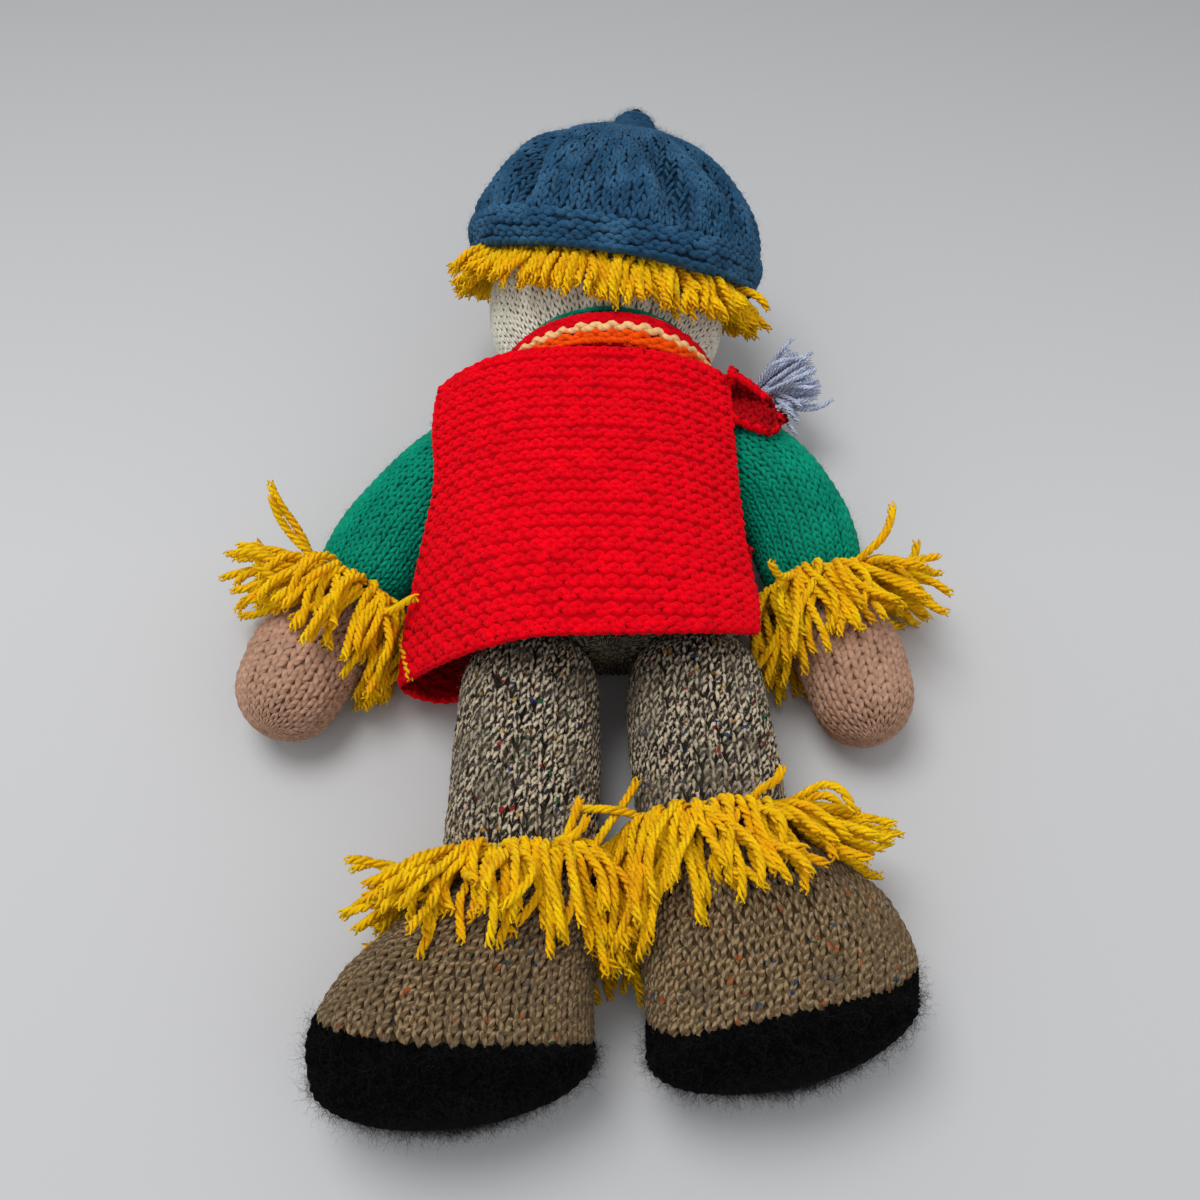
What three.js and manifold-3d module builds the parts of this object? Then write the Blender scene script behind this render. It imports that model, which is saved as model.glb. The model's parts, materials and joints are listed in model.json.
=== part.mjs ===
// Knitted scarecrow doll, lying on its front, in millimetres.
// +Z is up, out of the doll's back. +Y points from the feet to the head. The floor is z = 0.
// "Left" and "right" are the doll's own, so its left side lies at -X.
import * as THREE from "three";
import Module from "manifold-3d";

const wasm = await Module();
wasm.setup();

// Fabric and fit
const knit = 3; // thickness of the stockinette covers
const garter = 4.5; // thickness of the thicker garter stitch pieces
const seat = 0.35; // clearance between pieces that touch
const flat = 0.5; // how deep the doll's own weight flattens what it lies on
const stuffingRoom = 1.5; // clearance of the stuffing inside its cover
const facetRoom = 0.35; // extra clearance where a coarse facet would eat into the gap
const seamHole = 0.75; // share of a limb's round top that stays closed round the sewn opening

// Torso
const torsoHalfWidth = 50;
const torsoHalfDepth = 40;
const shoulderToHip = 72;
const seatRound = 16;
const waistY = -24; // where the trousers end and the sweater begins
const shoulderY = 22;
const hipY = shoulderY - shoulderToHip;
const neckRadius = 31;
const neckTopY = shoulderY + 33;
const neckLip = 2; // how far the neck's edge stands off the head

// Head
const headRadius = 51;
const neckToHead = Math.sqrt(headRadius ** 2 - (neckRadius - neckLip) ** 2);
const headCentre = new THREE.Vector3(0, neckTopY + neckToHead, headRadius - flat);

// Arms
const armRadius = 21.5;
const wristRadius = 17;
const handRadius = { left: 22, right: 20.5 };
const armZ = 38;
const armLowZ = 22;

// Legs and boots
const legRadius = 26;
const legY = hipY - 30;
const legZ = 31;
const legLength = { left: 70, right: 58 }; // from the hip to the ankle
const bootHalfLength = 46;
const bootHalfWidth = 30;
const soleRound = 17;

// Hat
const hatRadius = 62;
const hatHeight = 62;
const hatOffset = 15; // from the head's centre to the edge of the hat, along the hat's axis
const hatTip = 8; // degrees that the hat leans back from the way the head points
const headTip = 30; // degrees that the head leans back from the body's line
const hatRoll = 8.5; // degrees that head and hat lean to the doll's right
const hatGathers = 6;
const hatGatherDepth = 1.6;
const hatSlack = 0.06; // share by which the hat's shoulder sags inside a full dome
const nubRadius = 7.5;
const nubHeight = 9;

// Straw fringes
const bandThickness = 3.2;
const strandLength = 30;
const strandScatter = 0.22; // how far a strand's spread differs from its neighbours', as a share
const strandUneven = 0.12; // and its length
const strandRootZ = 5; // no strand starts lower than this
const hairLength = 19;
const tipThickness = 1.4;

const floorZ = new THREE.Vector3(0, 0, 1);
const rad = THREE.MathUtils.degToRad;

// Builds one closed mesh from rings of equally many points. With no end points the last ring meets the first.
function stitchRings(rings, startPole, endPole) {
  const around = rings[0].length;
  const points = rings.flat();
  const faces = [];
  const strips = startPole ? rings.length - 1 : rings.length;
  for (let k = 0; k < strips; k++) {
    const a = k * around;
    const b = ((k + 1) % rings.length) * around;
    for (let i = 0; i < around; i++) {
      const j = (i + 1) % around;
      faces.push(a + i, a + j, b + j, a + i, b + j, b + i);
    }
  }
  if (startPole) {
    const first = points.push(startPole) - 1;
    const last = points.push(endPole) - 1;
    const tail = (rings.length - 1) * around;
    for (let i = 0; i < around; i++) {
      const j = (i + 1) % around;
      faces.push(first, j, i, last, tail + i, tail + j);
    }
  }
  return outward(points, faces);
}

// A BufferGeometry whose faces point out, whichever way the faces were listed.
function outward(points, faces) {
  let volume = 0;
  const normal = new THREE.Vector3();
  for (let f = 0; f < faces.length; f += 3) {
    normal.crossVectors(points[faces[f + 1]], points[faces[f + 2]]);
    volume += points[faces[f]].dot(normal);
  }
  if (volume < 0) {
    for (let f = 0; f < faces.length; f += 3) [faces[f], faces[f + 1]] = [faces[f + 1], faces[f]];
  }
  const geometry = new THREE.BufferGeometry();
  geometry.setAttribute("position", new THREE.Float32BufferAttribute(points.flatMap((p) => p.toArray()), 3));
  geometry.setIndex(faces);
  return geometry;
}

function toSolid(geometry) {
  const vertProperties = new Float32Array(geometry.attributes.position.array);
  const triVerts = new Uint32Array(geometry.index.array);
  return new wasm.Manifold(new wasm.Mesh({ numProp: 3, vertProperties, triVerts }));
}

function fromSolid(solid) {
  const mesh = solid.getMesh();
  const geometry = new THREE.BufferGeometry();
  geometry.setAttribute("position", new THREE.BufferAttribute(new Float32Array(mesh.vertProperties), 3));
  geometry.setIndex(new THREE.BufferAttribute(new Uint32Array(mesh.triVerts), 1));
  return geometry;
}

// A box as a solid, from its lowest to its highest corner.
function boxSolid(low, high) {
  const size = new THREE.Vector3(...high).sub(new THREE.Vector3(...low));
  const box = new THREE.BoxGeometry(size.x, size.y, size.z);
  box.translate(low[0] + size.x / 2, low[1] + size.y / 2, low[2] + size.z / 2);
  return toSolid(welded(box));
}

// Gives a three.js geometry shared corners only, so that it is a closed mesh.
function welded(geometry) {
  const place = geometry.attributes.position;
  const index = geometry.index ? [...geometry.index.array] : [...Array(place.count).keys()];
  const seen = new Map();
  const points = [];
  const renumber = [];
  for (let i = 0; i < place.count; i++) {
    const point = new THREE.Vector3().fromBufferAttribute(place, i);
    const key = point.toArray().map((v) => Math.round(v * 1e4) + 0).join();
    if (!seen.has(key)) seen.set(key, points.push(point) - 1);
    renumber.push(seen.get(key));
  }
  const faces = [];
  for (let f = 0; f < index.length; f += 3) {
    const [a, b, c] = [renumber[index[f]], renumber[index[f + 1]], renumber[index[f + 2]]];
    if (a !== b && b !== c && c !== a) faces.push(a, b, c);
  }
  return outward(points, faces);
}

function ballSolid(centre, radius, around = 32) {
  const ball = new THREE.SphereGeometry(radius, around, around / 2);
  ball.translate(centre.x, centre.y, centre.z);
  return toSolid(welded(ball));
}

// What lies under the floor, which presses every resting piece flat.
const underFloor = boxSolid([-400, -400, -50], [400, 400, 0]);

// Soft limbs: a line of stations, each with a place, a half width, a half depth and a turn about Z in degrees.
// s runs from 0 to 1 along the line, from -1 to 0 over the round start and from 1 to 2 over the round end.
function makeLimb({ stations, startRound = 0, endRound = 0, square = 2, upright = false }) {
  const path = new THREE.CatmullRomCurve3(stations.map(({ at }) => new THREE.Vector3(...at)));
  const sizes = new THREE.CatmullRomCurve3(
    stations.map(({ wide, deep, turn = 0 }) => new THREE.Vector3(wide, deep, turn)),
  );
  const aheadAt = (t) =>
    upright
      ? new THREE.Vector3(0, -1, 0).applyAxisAngle(floorZ, rad(sizes.getPoint(t).z))
      : path.getTangent(t);
  const centreAt = (s, grow = 0) => {
    const t = THREE.MathUtils.clamp(s, 0, 1);
    const round = s < 0 ? startRound : endRound;
    return path.getPoint(t).addScaledVector(aheadAt(t), Math.sin(roundAngle(s)) * (round + grow));
  };
  const pointAt = (s, angle, grow = 0) => {
    const t = THREE.MathUtils.clamp(s, 0, 1);
    const size = sizes.getPoint(t);
    const side = new THREE.Vector3().crossVectors(aheadAt(t), floorZ).normalize();
    const up = new THREE.Vector3().crossVectors(side, aheadAt(t));
    const narrow = Math.cos(roundAngle(s));
    return centreAt(s, grow)
      .addScaledVector(side, (size.x + grow) * narrow * squared(Math.cos(angle), square))
      .addScaledVector(up, (size.y + grow) * narrow * squared(Math.sin(angle), square));
  };
  // The ring at an s, or at an s that differs with the angle.
  const ringAt = (s, grow = 0, around = 20) =>
    Array.from({ length: around }, (_, i) => {
      const angle = (i / around) * 2 * Math.PI;
      return pointAt(typeof s === "function" ? s(angle) : s, angle, grow);
    });
  return { aheadAt, centreAt, ringAt };
}

// How far round its ball an s past either end of a limb lies.
function roundAngle(s) {
  return (s < 0 ? s : Math.max(0, s - 1)) * (Math.PI / 2);
}

// The rounded square's version of a sine or cosine.
function squared(value, square) {
  return Math.sign(value) * Math.abs(value) ** (2 / square);
}

// Even steps along a limb's line, and even steps over each of its round ends.
function stepsAlong(from, to, lineSteps, roundSteps) {
  const marks = [from];
  const lineFrom = Math.max(from, 0);
  const lineTo = Math.min(to, 1);
  for (let k = 1; k < roundSteps && from < 0; k++) marks.push(from * (1 - k / roundSteps));
  if (from < 0) marks.push(0);
  for (let k = 1; k <= lineSteps; k++) marks.push(lineFrom + ((lineTo - lineFrom) * k) / lineSteps);
  for (let k = 1; k <= roundSteps && to > 1; k++) marks.push(1 + ((to - 1) * k) / roundSteps);
  return marks;
}

// The s at which a limb's line has come a given distance further.
function further(limb, s, distance) {
  const sample = 0.01;
  const speed = limb.centreAt(s + sample).distanceTo(limb.centreAt(s)) / sample;
  return s + distance / speed;
}

// Leans a cover's rings, so that its seam at one end lies further along by lean(angle) and its other end stays.
function leaning(marks, lean, still) {
  const seam = marks[0] === still ? marks.at(-1) : marks[0];
  return marks.map((s) => (angle) => s + (lean(angle) * (s - still)) / (seam - still));
}
const noLean = () => 0;

// A knitted tube, open at both ends. Its end leans.
function tubeCover(limb, from, to, { lineSteps = 6, roundSteps = 3, around = 20, lean = noLean } = {}) {
  const marks = leaning(stepsAlong(from, to, lineSteps, roundSteps), lean, from);
  const outer = marks.map((s) => limb.ringAt(s, 0, around));
  const inner = marks.map((s) => limb.ringAt(s, -knit, around)).reverse();
  return stitchRings([...outer, ...inner]);
}

// A knitted bag, open where it starts and gathered shut at the limb's round end. Its open end leans.
function bagCover(limb, from, { lineSteps = 5, roundSteps = 3, around = 20, lean = noLean } = {}) {
  const marks = leaning(stepsAlong(from, 2, lineSteps, roundSteps), lean, 2).slice(0, -1);
  const outer = marks.map((s) => limb.ringAt(s, 0, around)).reverse();
  const inner = marks.map((s) => limb.ringAt(s, -knit, around));
  return stitchRings([...outer, ...inner], limb.centreAt(2, 0), limb.centreAt(2, -knit));
}

// A closed solid inside a limb's cover or, with a positive grow, round it.
function limbCore(limb, from, to, grow, { lineSteps = 7, roundSteps = 3, around = 20 } = {}) {
  const marks = stepsAlong(from, to, lineSteps, roundSteps);
  const closedStart = from === -1;
  const closedEnd = to === 2;
  const rings = marks.slice(closedStart ? 1 : 0, closedEnd ? -1 : undefined);
  return stitchRings(
    rings.map((s) => limb.ringAt(s, grow, around)),
    limb.centreAt(from, grow),
    limb.centreAt(to, grow),
  );
}

// A cloth sheet of even thickness over a grid of middle points.
function sheetGeometry(middle, thickness) {
  const rows = middle.length;
  const columns = middle[0].length;
  const normalAt = (r, c) => {
    const along = middle[Math.min(r + 1, rows - 1)][c].clone().sub(middle[Math.max(r - 1, 0)][c]);
    const across = middle[r][Math.min(c + 1, columns - 1)].clone().sub(middle[r][Math.max(c - 1, 0)]);
    return along.cross(across).normalize();
  };
  const face = (sign) =>
    middle.flatMap((row, r) =>
      row.map((point, c) => point.clone().addScaledVector(normalAt(r, c), (sign * thickness) / 2)),
    );
  const points = [...face(1), ...face(-1)];
  const back = rows * columns;
  const faces = [];
  const quad = (a, b, c, d) => faces.push(a, b, c, a, c, d);
  for (let r = 0; r + 1 < rows; r++) {
    for (let c = 0; c + 1 < columns; c++) {
      const a = r * columns + c;
      quad(a, a + 1, a + columns + 1, a + columns);
      quad(back + a, back + a + columns, back + a + columns + 1, back + a + 1);
    }
    const first = r * columns;
    const last = first + columns - 1;
    quad(first, first + columns, back + first + columns, back + first);
    quad(last, back + last, back + last + columns, last + columns);
  }
  for (let c = 0; c + 1 < columns; c++) {
    const last = (rows - 1) * columns + c;
    quad(c, back + c, back + c + 1, c + 1);
    quad(last, last + 1, back + last + 1, back + last);
  }
  return outward(points, faces);
}

// A number between -1 and 1 that differs from strand to strand and is the same in every build.
function scatter(i, j) {
  const wave = Math.sin(i * 12.9898 + j * 78.233) * 43758.5453;
  return 2 * (wave - Math.floor(wave)) - 1;
}

// Where a strand goes that leaves a fringe's band at root: its angle out from the way that the fringe hangs.
function strandWay(out, ahead, angle) {
  return out.clone().multiplyScalar(Math.sin(angle)).addScaledVector(ahead, Math.cos(angle));
}
function outwardAt(point, middle, ahead) {
  const out = point.clone().sub(middle);
  return out.addScaledVector(ahead, -out.dot(ahead)).normalize();
}
function centreOf(points) {
  return points.reduce((sum, p) => sum.add(p), new THREE.Vector3()).divideScalar(points.length);
}

// A band with yarn strands, each a pyramid of four sides drawn out of one facet of the band.
// ringAt(level, grow) gives the band's rings, ahead the way the strands fall, spread their angle out from it.
function strawFringe({ ringAt, levels, ahead, spread, length }) {
  const inside = seat + facetRoom;
  const outerRings = levels.map((level) => ringAt(level, inside + bandThickness));
  const rings = [ringAt(levels[0], inside), ...outerRings, ringAt(levels.at(-1), inside)];
  const around = rings[0].length;
  const points = rings.flat();
  const faces = [];
  const middle = centreOf(points);
  for (let k = 0; k < rings.length; k++) {
    const a = k * around;
    const b = ((k + 1) % rings.length) * around;
    for (let i = 0; i < around; i++) {
      const j = (i + 1) % around;
      const corners = [a + i, a + j, b + j, b + i];
      const onOutside = k >= 1 && k < levels.length;
      const clearOfFloor = corners.every((c) => points[c].z > strandRootZ);
      if (!onOutside || !clearOfFloor) {
        faces.push(corners[0], corners[1], corners[2], corners[0], corners[2], corners[3]);
        continue;
      }
      const root = centreOf(corners.map((c) => points[c]));
      const out = outwardAt(root, middle, ahead);
      const way = strandWay(out, ahead, spread(out) * (1 + strandScatter * scatter(i, k)));
      const tip = root.addScaledVector(way, length * (1 + strandUneven * scatter(k + 7, i)));
      tip.z = Math.max(tip.z, 1);
      const end = points.push(tip) - 1;
      for (let c = 0; c < 4; c++) faces.push(corners[c], corners[(c + 1) % 4], end);
    }
  }
  return outward(points, faces);
}

// A fringe too thick to see between its strands: a flared skirt with an uneven edge, below a band.
function fringeSkirt({ ringAt, levels, ahead, spread, lengthAt, inside }) {
  const [low, high] = levels;
  const outerRoots = ringAt(low, inside + bandThickness);
  const innerRoots = ringAt(low, inside);
  const middle = centreOf(outerRoots);
  const falling = (roots, share, uneven) =>
    roots.map((root, i) => {
      const out = outwardAt(root, middle, ahead);
      const reach = lengthAt(out) * share * (1 + uneven * scatter(i, 3));
      const point = root.clone().addScaledVector(strandWay(out, ahead, spread(out)), reach);
      point.z = Math.max(point.z, 1);
      return point;
    });
  const tips = falling(outerRoots, 1, strandUneven * 2);
  const tipsInside = tips.map((tip) => tip.clone().addScaledVector(outwardAt(tip, middle, ahead), -tipThickness));
  return stitchRings([
    ringAt(high, inside),
    ringAt(high, inside + bandThickness),
    outerRoots,
    falling(outerRoots, 0.5, 0),
    tips,
    tipsInside,
    falling(innerRoots, 0.5, 0),
    innerRoots,
  ]);
}

// Torso: the trousers' seat below the waist and the sweater above it, over one stuffing
const torso = makeLimb({
  stations: [
    { at: [0, neckTopY, headCentre.z - 1.5], wide: neckRadius, deep: neckRadius },
    { at: [0, neckTopY - 6, headCentre.z - 2.5], wide: neckRadius, deep: neckRadius },
    { at: [0, neckTopY - 13, torsoHalfDepth + 4], wide: neckRadius + 5, deep: torsoHalfDepth - 5 },
    { at: [0, neckTopY - 21, torsoHalfDepth + 1], wide: torsoHalfWidth - 4, deep: torsoHalfDepth - 1.5 },
    { at: [0, shoulderY, torsoHalfDepth], wide: torsoHalfWidth, deep: torsoHalfDepth },
    { at: [0, 0, torsoHalfDepth], wide: torsoHalfWidth, deep: torsoHalfDepth + flat },
    { at: [0, waistY, torsoHalfDepth], wide: torsoHalfWidth + 1, deep: torsoHalfDepth + flat },
    { at: [1, hipY, torsoHalfDepth], wide: torsoHalfWidth + 2, deep: torsoHalfDepth - 2 },
  ],
  endRound: seatRound,
  square: 2.3,
  upright: true,
});
const waistS = 6 / 7;
const sweaterSteps = { lineSteps: 8, around: 20 };
const trouserSteps = { lineSteps: 2, roundSteps: 3, around: 20 };

// The arms, from the shoulder to the fingertips. Each step is a place's x and y from the shoulder, and its height.
const shoulders = {
  left: new THREE.Vector3(-torsoHalfWidth - 8, shoulderY - 2, armZ),
  right: new THREE.Vector3(torsoHalfWidth + 7, shoulderY, armZ),
};
const wristS = 4 / 7;
const armSteps = {
  left: [
    [-13, -10, 34],
    [-28, -26, 29],
    [-38, -43, 26],
    [-44, -54, 25],
    [-49, -64, 23.5],
    [-59, -80, armLowZ],
    [-63, -91, armLowZ],
  ],
  right: [
    [11, -9, 34],
    [21, -26, 29],
    [25, -42, 26],
    [27, -54, 25],
    [30, -65, 23.5],
    [37, -82, armLowZ],
    [40, -97, armLowZ],
  ],
};
const arms = { left: makeArmLimb("left"), right: makeArmLimb("right") };

function makeArmLimb(side) {
  const shoulder = shoulders[side];
  const hand = handRadius[side];
  const cuff = (wristRadius + hand) / 2;
  const wide = [armRadius, armRadius, armRadius, armRadius - 1, wristRadius, cuff, hand, hand - 1];
  const deep = [armRadius, armRadius, armRadius - 0.5, armRadius - 1.5, wristRadius, 18.5, armLowZ + flat, 21];
  const places = [shoulder.toArray(), ...armSteps[side].map(([x, y, z]) => [shoulder.x + x, shoulder.y + y, z])];
  return makeLimb({
    stations: places.map((at, k) => ({ at, wide: wide[k], deep: deep[k] })),
    startRound: armRadius,
    endRound: hand - 1,
  });
}

// The legs, from the hip to the sole. The boots' toes point away from each other.
const hips = { left: new THREE.Vector3(-29, legY, legZ), right: new THREE.Vector3(32.5, legY, legZ) };
const ankleS = 3 / 7;
const soleS = 0.873;
// The sole's seam lies further along by these shares of the limb towards the doll's right and towards its back.
const soleLeans = {
  left: (angle) => 0.098 * -Math.cos(angle) + 0.11 * Math.sin(angle),
  right: (angle) => 0.17 * Math.sin(angle),
};
const legs = {
  left: makeLegLimb({ hip: hips.left, ankle: [-30, legY - legLength.left], toward: -1, turn: 7 }),
  right: makeLegLimb({ hip: hips.right, ankle: [36, legY - legLength.right], toward: 1, turn: 12 }),
};

function makeLegLimb({ hip, ankle, toward, turn }) {
  const [x, y] = ankle;
  const lean = toward < 0 ? 1 : -0.6; // the turn moves the sole along the boot, a little
  return makeLimb({
    stations: [
      { at: hip.toArray(), wide: legRadius, deep: legRadius },
      { at: [(hip.x + x) / 2, (hip.y + y) / 2 + 5, legZ], wide: legRadius + 1, deep: legRadius },
      { at: [x, y + 12, legZ], wide: legRadius + 1, deep: legRadius - 0.5 },
      { at: [x, y, legZ], wide: legRadius - 1.5, deep: legRadius - 2, turn: turn / 2 },
      { at: [x + toward * 6, y - 12, legZ], wide: legRadius + 8, deep: bootHalfWidth - 2, turn },
      { at: [x + toward * 15, y - 27, bootHalfWidth], wide: bootHalfLength - 3, deep: bootHalfWidth + flat, turn },
      { at: [x + toward * 20, y - 46, bootHalfWidth], wide: bootHalfLength, deep: bootHalfWidth + flat, turn },
      { at: [x + toward * 20 + lean, y - 60, bootHalfWidth], wide: bootHalfLength - 1, deep: bootHalfWidth, turn },
    ],
    startRound: legRadius,
    endRound: soleRound,
    square: 2.2,
    upright: true,
  });
}

// The head is a ball that turns in the dished neck. Its crown leans back, the hat leans further, and both lean
// to the doll's right.
const leanBack = (degrees) =>
  new THREE.Vector3(0, 1, 0)
    .applyAxisAngle(floorZ, -rad(hatRoll))
    .applyAxisAngle(new THREE.Vector3(1, 0, 0), rad(degrees));
const hatWay = leanBack(headTip + hatTip);
const head = makeLimb({
  stations: [
    { at: headCentre.toArray(), wide: headRadius, deep: headRadius },
    { at: headCentre.clone().add(new THREE.Vector3(0, 0.5, 0)).toArray(), wide: headRadius, deep: headRadius },
  ],
  startRound: headRadius,
  endRound: headRadius,
});
const headAround = 24;

// Clearance bodies: each soft piece keeps this far from what it rests on
const headRoom = ballSolid(headCentre, headRadius + seat, 32);
const hipRooms = Object.values(hips).map((hip) => legRoom(hip));
const armRooms = Object.values(arms).map((arm) => armRoom(arm));
const torsoRoom = toSolid(limbCore(torso, 0, waistS, seat + facetRoom, sweaterSteps)).add(
  toSolid(limbCore(torso, waistS, 2, seat + facetRoom, trouserSteps)),
);

// The room that an upper arm takes: its round top, which turns in place, and the sleeve below it.
function armRoom(arm) {
  const grow = seat + facetRoom;
  const sleeve = toSolid(limbCore(arm, 0, 0.4, grow, { around: 16, lineSteps: 3 }));
  return ballSolid(arm.centreAt(0), armRadius + grow, 28).add(sleeve);
}

// The room that a thigh takes as the doll sits: its round top, and the thigh pointing straight to the front.
function legRoom(hip) {
  const radius = legRadius + seat + 2.5 * facetRoom;
  const around = 20;
  const bent = new THREE.CylinderGeometry(radius, radius, legZ + 40, around);
  bent.rotateX(Math.PI / 2);
  bent.translate(hip.x, hip.y, hip.z - (legZ + 40) / 2);
  return ballSolid(hip, radius, around).add(toSolid(welded(bent)));
}

// Cuts a soft piece free of the pieces it rests against.
function cutFree(geometry, rooms) {
  const solid = rooms.reduce((rest, room) => rest.subtract(room), toSolid(geometry));
  return fromSolid(solid);
}

// Materials
const paint = (colour, roughness) => new THREE.MeshStandardMaterial({ color: colour, roughness, metalness: 0 });
const materials = {
  greenWool: paint(0x138866, 0.9),
  tweedWool: paint(0x6e6862, 0.95),
  brownWool: paint(0x8a7558, 0.95),
  blackMohair: paint(0x0d0c0d, 1),
  creamWool: paint(0xe0d6bd, 0.9),
  pinkWool: paint(0xb99a8c, 0.9),
  yellowYarn: paint(0xf0b40f, 0.9),
  blueWool: paint(0x2f5c80, 0.9),
  redWool: paint(0xd8061a, 0.9),
  stripedWool: paint(0xf0642a, 0.9),
  paleBlueYarn: paint(0xa3b4dc, 0.9),
  stuffing: paint(0xf4f3ef, 1),
  faceThread: paint(0x2a2420, 0.8),
  mouthThread: paint(0xb3202a, 0.8),
};

const doll = new THREE.Group();
function addPiece(name, geometry, material, parent = doll) {
  const mesh = new THREE.Mesh(geometry, material);
  mesh.name = name;
  parent.add(mesh);
}

// Torso
const torsoRooms = [headRoom, ...hipRooms, ...armRooms];
const seatTopS = further(torso, waistS, seat);
addPiece(
  "sweater_body",
  cutFree(tubeCover(torso, 0, waistS, sweaterSteps), [...torsoRooms, underFloor]),
  materials.greenWool,
);
addPiece(
  "trouser_seat",
  cutFree(bagCover(torso, seatTopS, trouserSteps), [...torsoRooms, underFloor]),
  materials.tweedWool,
);
addPiece(
  "torso_stuffing",
  cutFree(limbCore(torso, 0.01, 2, -knit - stuffingRoom, { lineSteps: 6, roundSteps: 3, around: 14 }), torsoRooms),
  materials.stuffing,
);

// Sweater neckband: a ribbed ring that hugs the underside of the head
const neckbandThickness = 2.6;
const neckbandHeight = 7;
function neckbandGeometry() {
  const low = headCentre.y - neckTopY - seat;
  const high = low - neckbandHeight;
  const radiusAt = (drop, grow) => Math.sqrt((headRadius + seat + grow) ** 2 - drop ** 2);
  const profile = [
    new THREE.Vector2(radiusAt(low, 0), -low),
    new THREE.Vector2(radiusAt(low, neckbandThickness), -low),
    new THREE.Vector2(radiusAt((low + high) / 2, neckbandThickness), -(low + high) / 2),
    new THREE.Vector2(radiusAt(high, neckbandThickness), -high),
    new THREE.Vector2(radiusAt(high, 0), -high),
    new THREE.Vector2(radiusAt((low + high) / 2, 0), -(low + high) / 2),
  ];
  profile.push(profile[0].clone());
  const ring = new THREE.LatheGeometry(profile, 32);
  ring.translate(headCentre.x, headCentre.y, headCentre.z);
  return welded(ring);
}
addPiece("sweater_neckband", neckbandGeometry(), materials.greenWool);

// Arms and hands
for (const side of ["left", "right"]) {
  const arm = arms[side];
  addPiece(`${side}_sleeve`, tubeCover(arm, -seamHole, wristS, { lineSteps: 7, around: 16 }), materials.greenWool);
  addPiece(
    `${side}_hand`,
    cutFree(bagCover(arm, further(arm, wristS, seat), { lineSteps: 4, around: 16 }), [underFloor]),
    materials.pinkWool,
  );
  addPiece(
    `${side}_arm_stuffing`,
    limbCore(arm, -seamHole, 2, -knit - stuffingRoom, { lineSteps: 9, around: 10 }),
    materials.stuffing,
  );
}

// Legs and boots
for (const side of ["left", "right"]) {
  const leg = legs[side];
  addPiece(`${side}_trouser_leg`, tubeCover(leg, -seamHole, ankleS, { lineSteps: 3, around: 18 }), materials.tweedWool);
  const bootTop = further(leg, ankleS, seat);
  const soleTop = further(leg, soleS, seat);
  addPiece(
    `${side}_boot_upper`,
    cutFree(tubeCover(leg, bootTop, soleS, { lineSteps: 5, lean: soleLeans[side] }), [underFloor]),
    materials.brownWool,
  );
  addPiece(
    `${side}_boot_sole`,
    cutFree(bagCover(leg, soleTop, { lineSteps: 3, roundSteps: 4, lean: soleLeans[side] }), [underFloor]),
    materials.blackMohair,
  );
  addPiece(
    `${side}_leg_stuffing`,
    limbCore(leg, -seamHole, 2, -knit - 1.5 * stuffingRoom, { lineSteps: 7, around: 14 }),
    materials.stuffing,
  );
}

// Head
const headSteps = { lineSteps: 1, roundSteps: 5, around: headAround };
addPiece("head_cover", cutFree(bagCover(head, -seamHole, headSteps), [underFloor]), materials.creamWool);
addPiece(
  "head_stuffing",
  limbCore(head, -seamHole, 2, -knit - stuffingRoom, { lineSteps: 1, roundSteps: 4, around: 16 }),
  materials.stuffing,
);

// Face: embroidered eyes and nose, each a low dome on the ball, and a stitched mouth
const face = new THREE.Group();
face.position.copy(headCentre);
face.rotation.set(rad(headTip), 0, -rad(hatRoll));
doll.add(face);
const faceDomes = [
  { name: "left_eye", across: -19, up: 9, radius: 4.2, height: 1.6, material: materials.faceThread },
  { name: "right_eye", across: 19, up: 9, radius: 4.2, height: 1.6, material: materials.faceThread },
  { name: "nose", across: 0, up: 0, radius: 5, height: 3, material: materials.mouthThread },
];
function domeGeometry(radius, height) {
  const rings = 4;
  const under = Math.sqrt((headRadius + seat) ** 2 - radius ** 2);
  const profile = [new THREE.Vector2(0, headRadius + seat), new THREE.Vector2(radius, under)];
  for (let k = 1; k < rings; k++) {
    const angle = (k / rings) * (Math.PI / 2);
    const top = headRadius + seat + height * Math.sin(angle);
    profile.push(new THREE.Vector2(radius * Math.cos(angle), top));
  }
  profile.push(new THREE.Vector2(0, headRadius + seat + height));
  return welded(new THREE.LatheGeometry(profile, 10));
}
for (const { name, across, up, radius, height, material } of faceDomes) {
  const dome = domeGeometry(radius, height);
  dome.rotateX(-Math.PI / 2 + rad(up));
  dome.rotateY(-rad(across));
  addPiece(name, dome, material, face);
}
const mouthHalfWidth = 16; // degrees
const mouthDrop = -13; // degrees below the middle of the face
const mouthCurve = 4;
function mouthGeometry() {
  const reach = headRadius + seat + 0.5;
  const points = [-1, -0.5, 0, 0.5, 1].map((share) => {
    const across = rad(share * mouthHalfWidth);
    const up = rad(mouthDrop + mouthCurve * share * share);
    const out = new THREE.Vector3(Math.sin(across) * Math.cos(up), Math.sin(up), -Math.cos(across) * Math.cos(up));
    return out.multiplyScalar(reach);
  });
  const section = new THREE.Shape();
  section.absarc(0, 0, 0.45, 0, 2 * Math.PI);
  const path = new THREE.CatmullRomCurve3(points);
  return welded(new THREE.ExtrudeGeometry(section, { extrudePath: path, steps: 14, curveSegments: 3 }));
}
addPiece("mouth", mouthGeometry(), materials.mouthThread, face);

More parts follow.
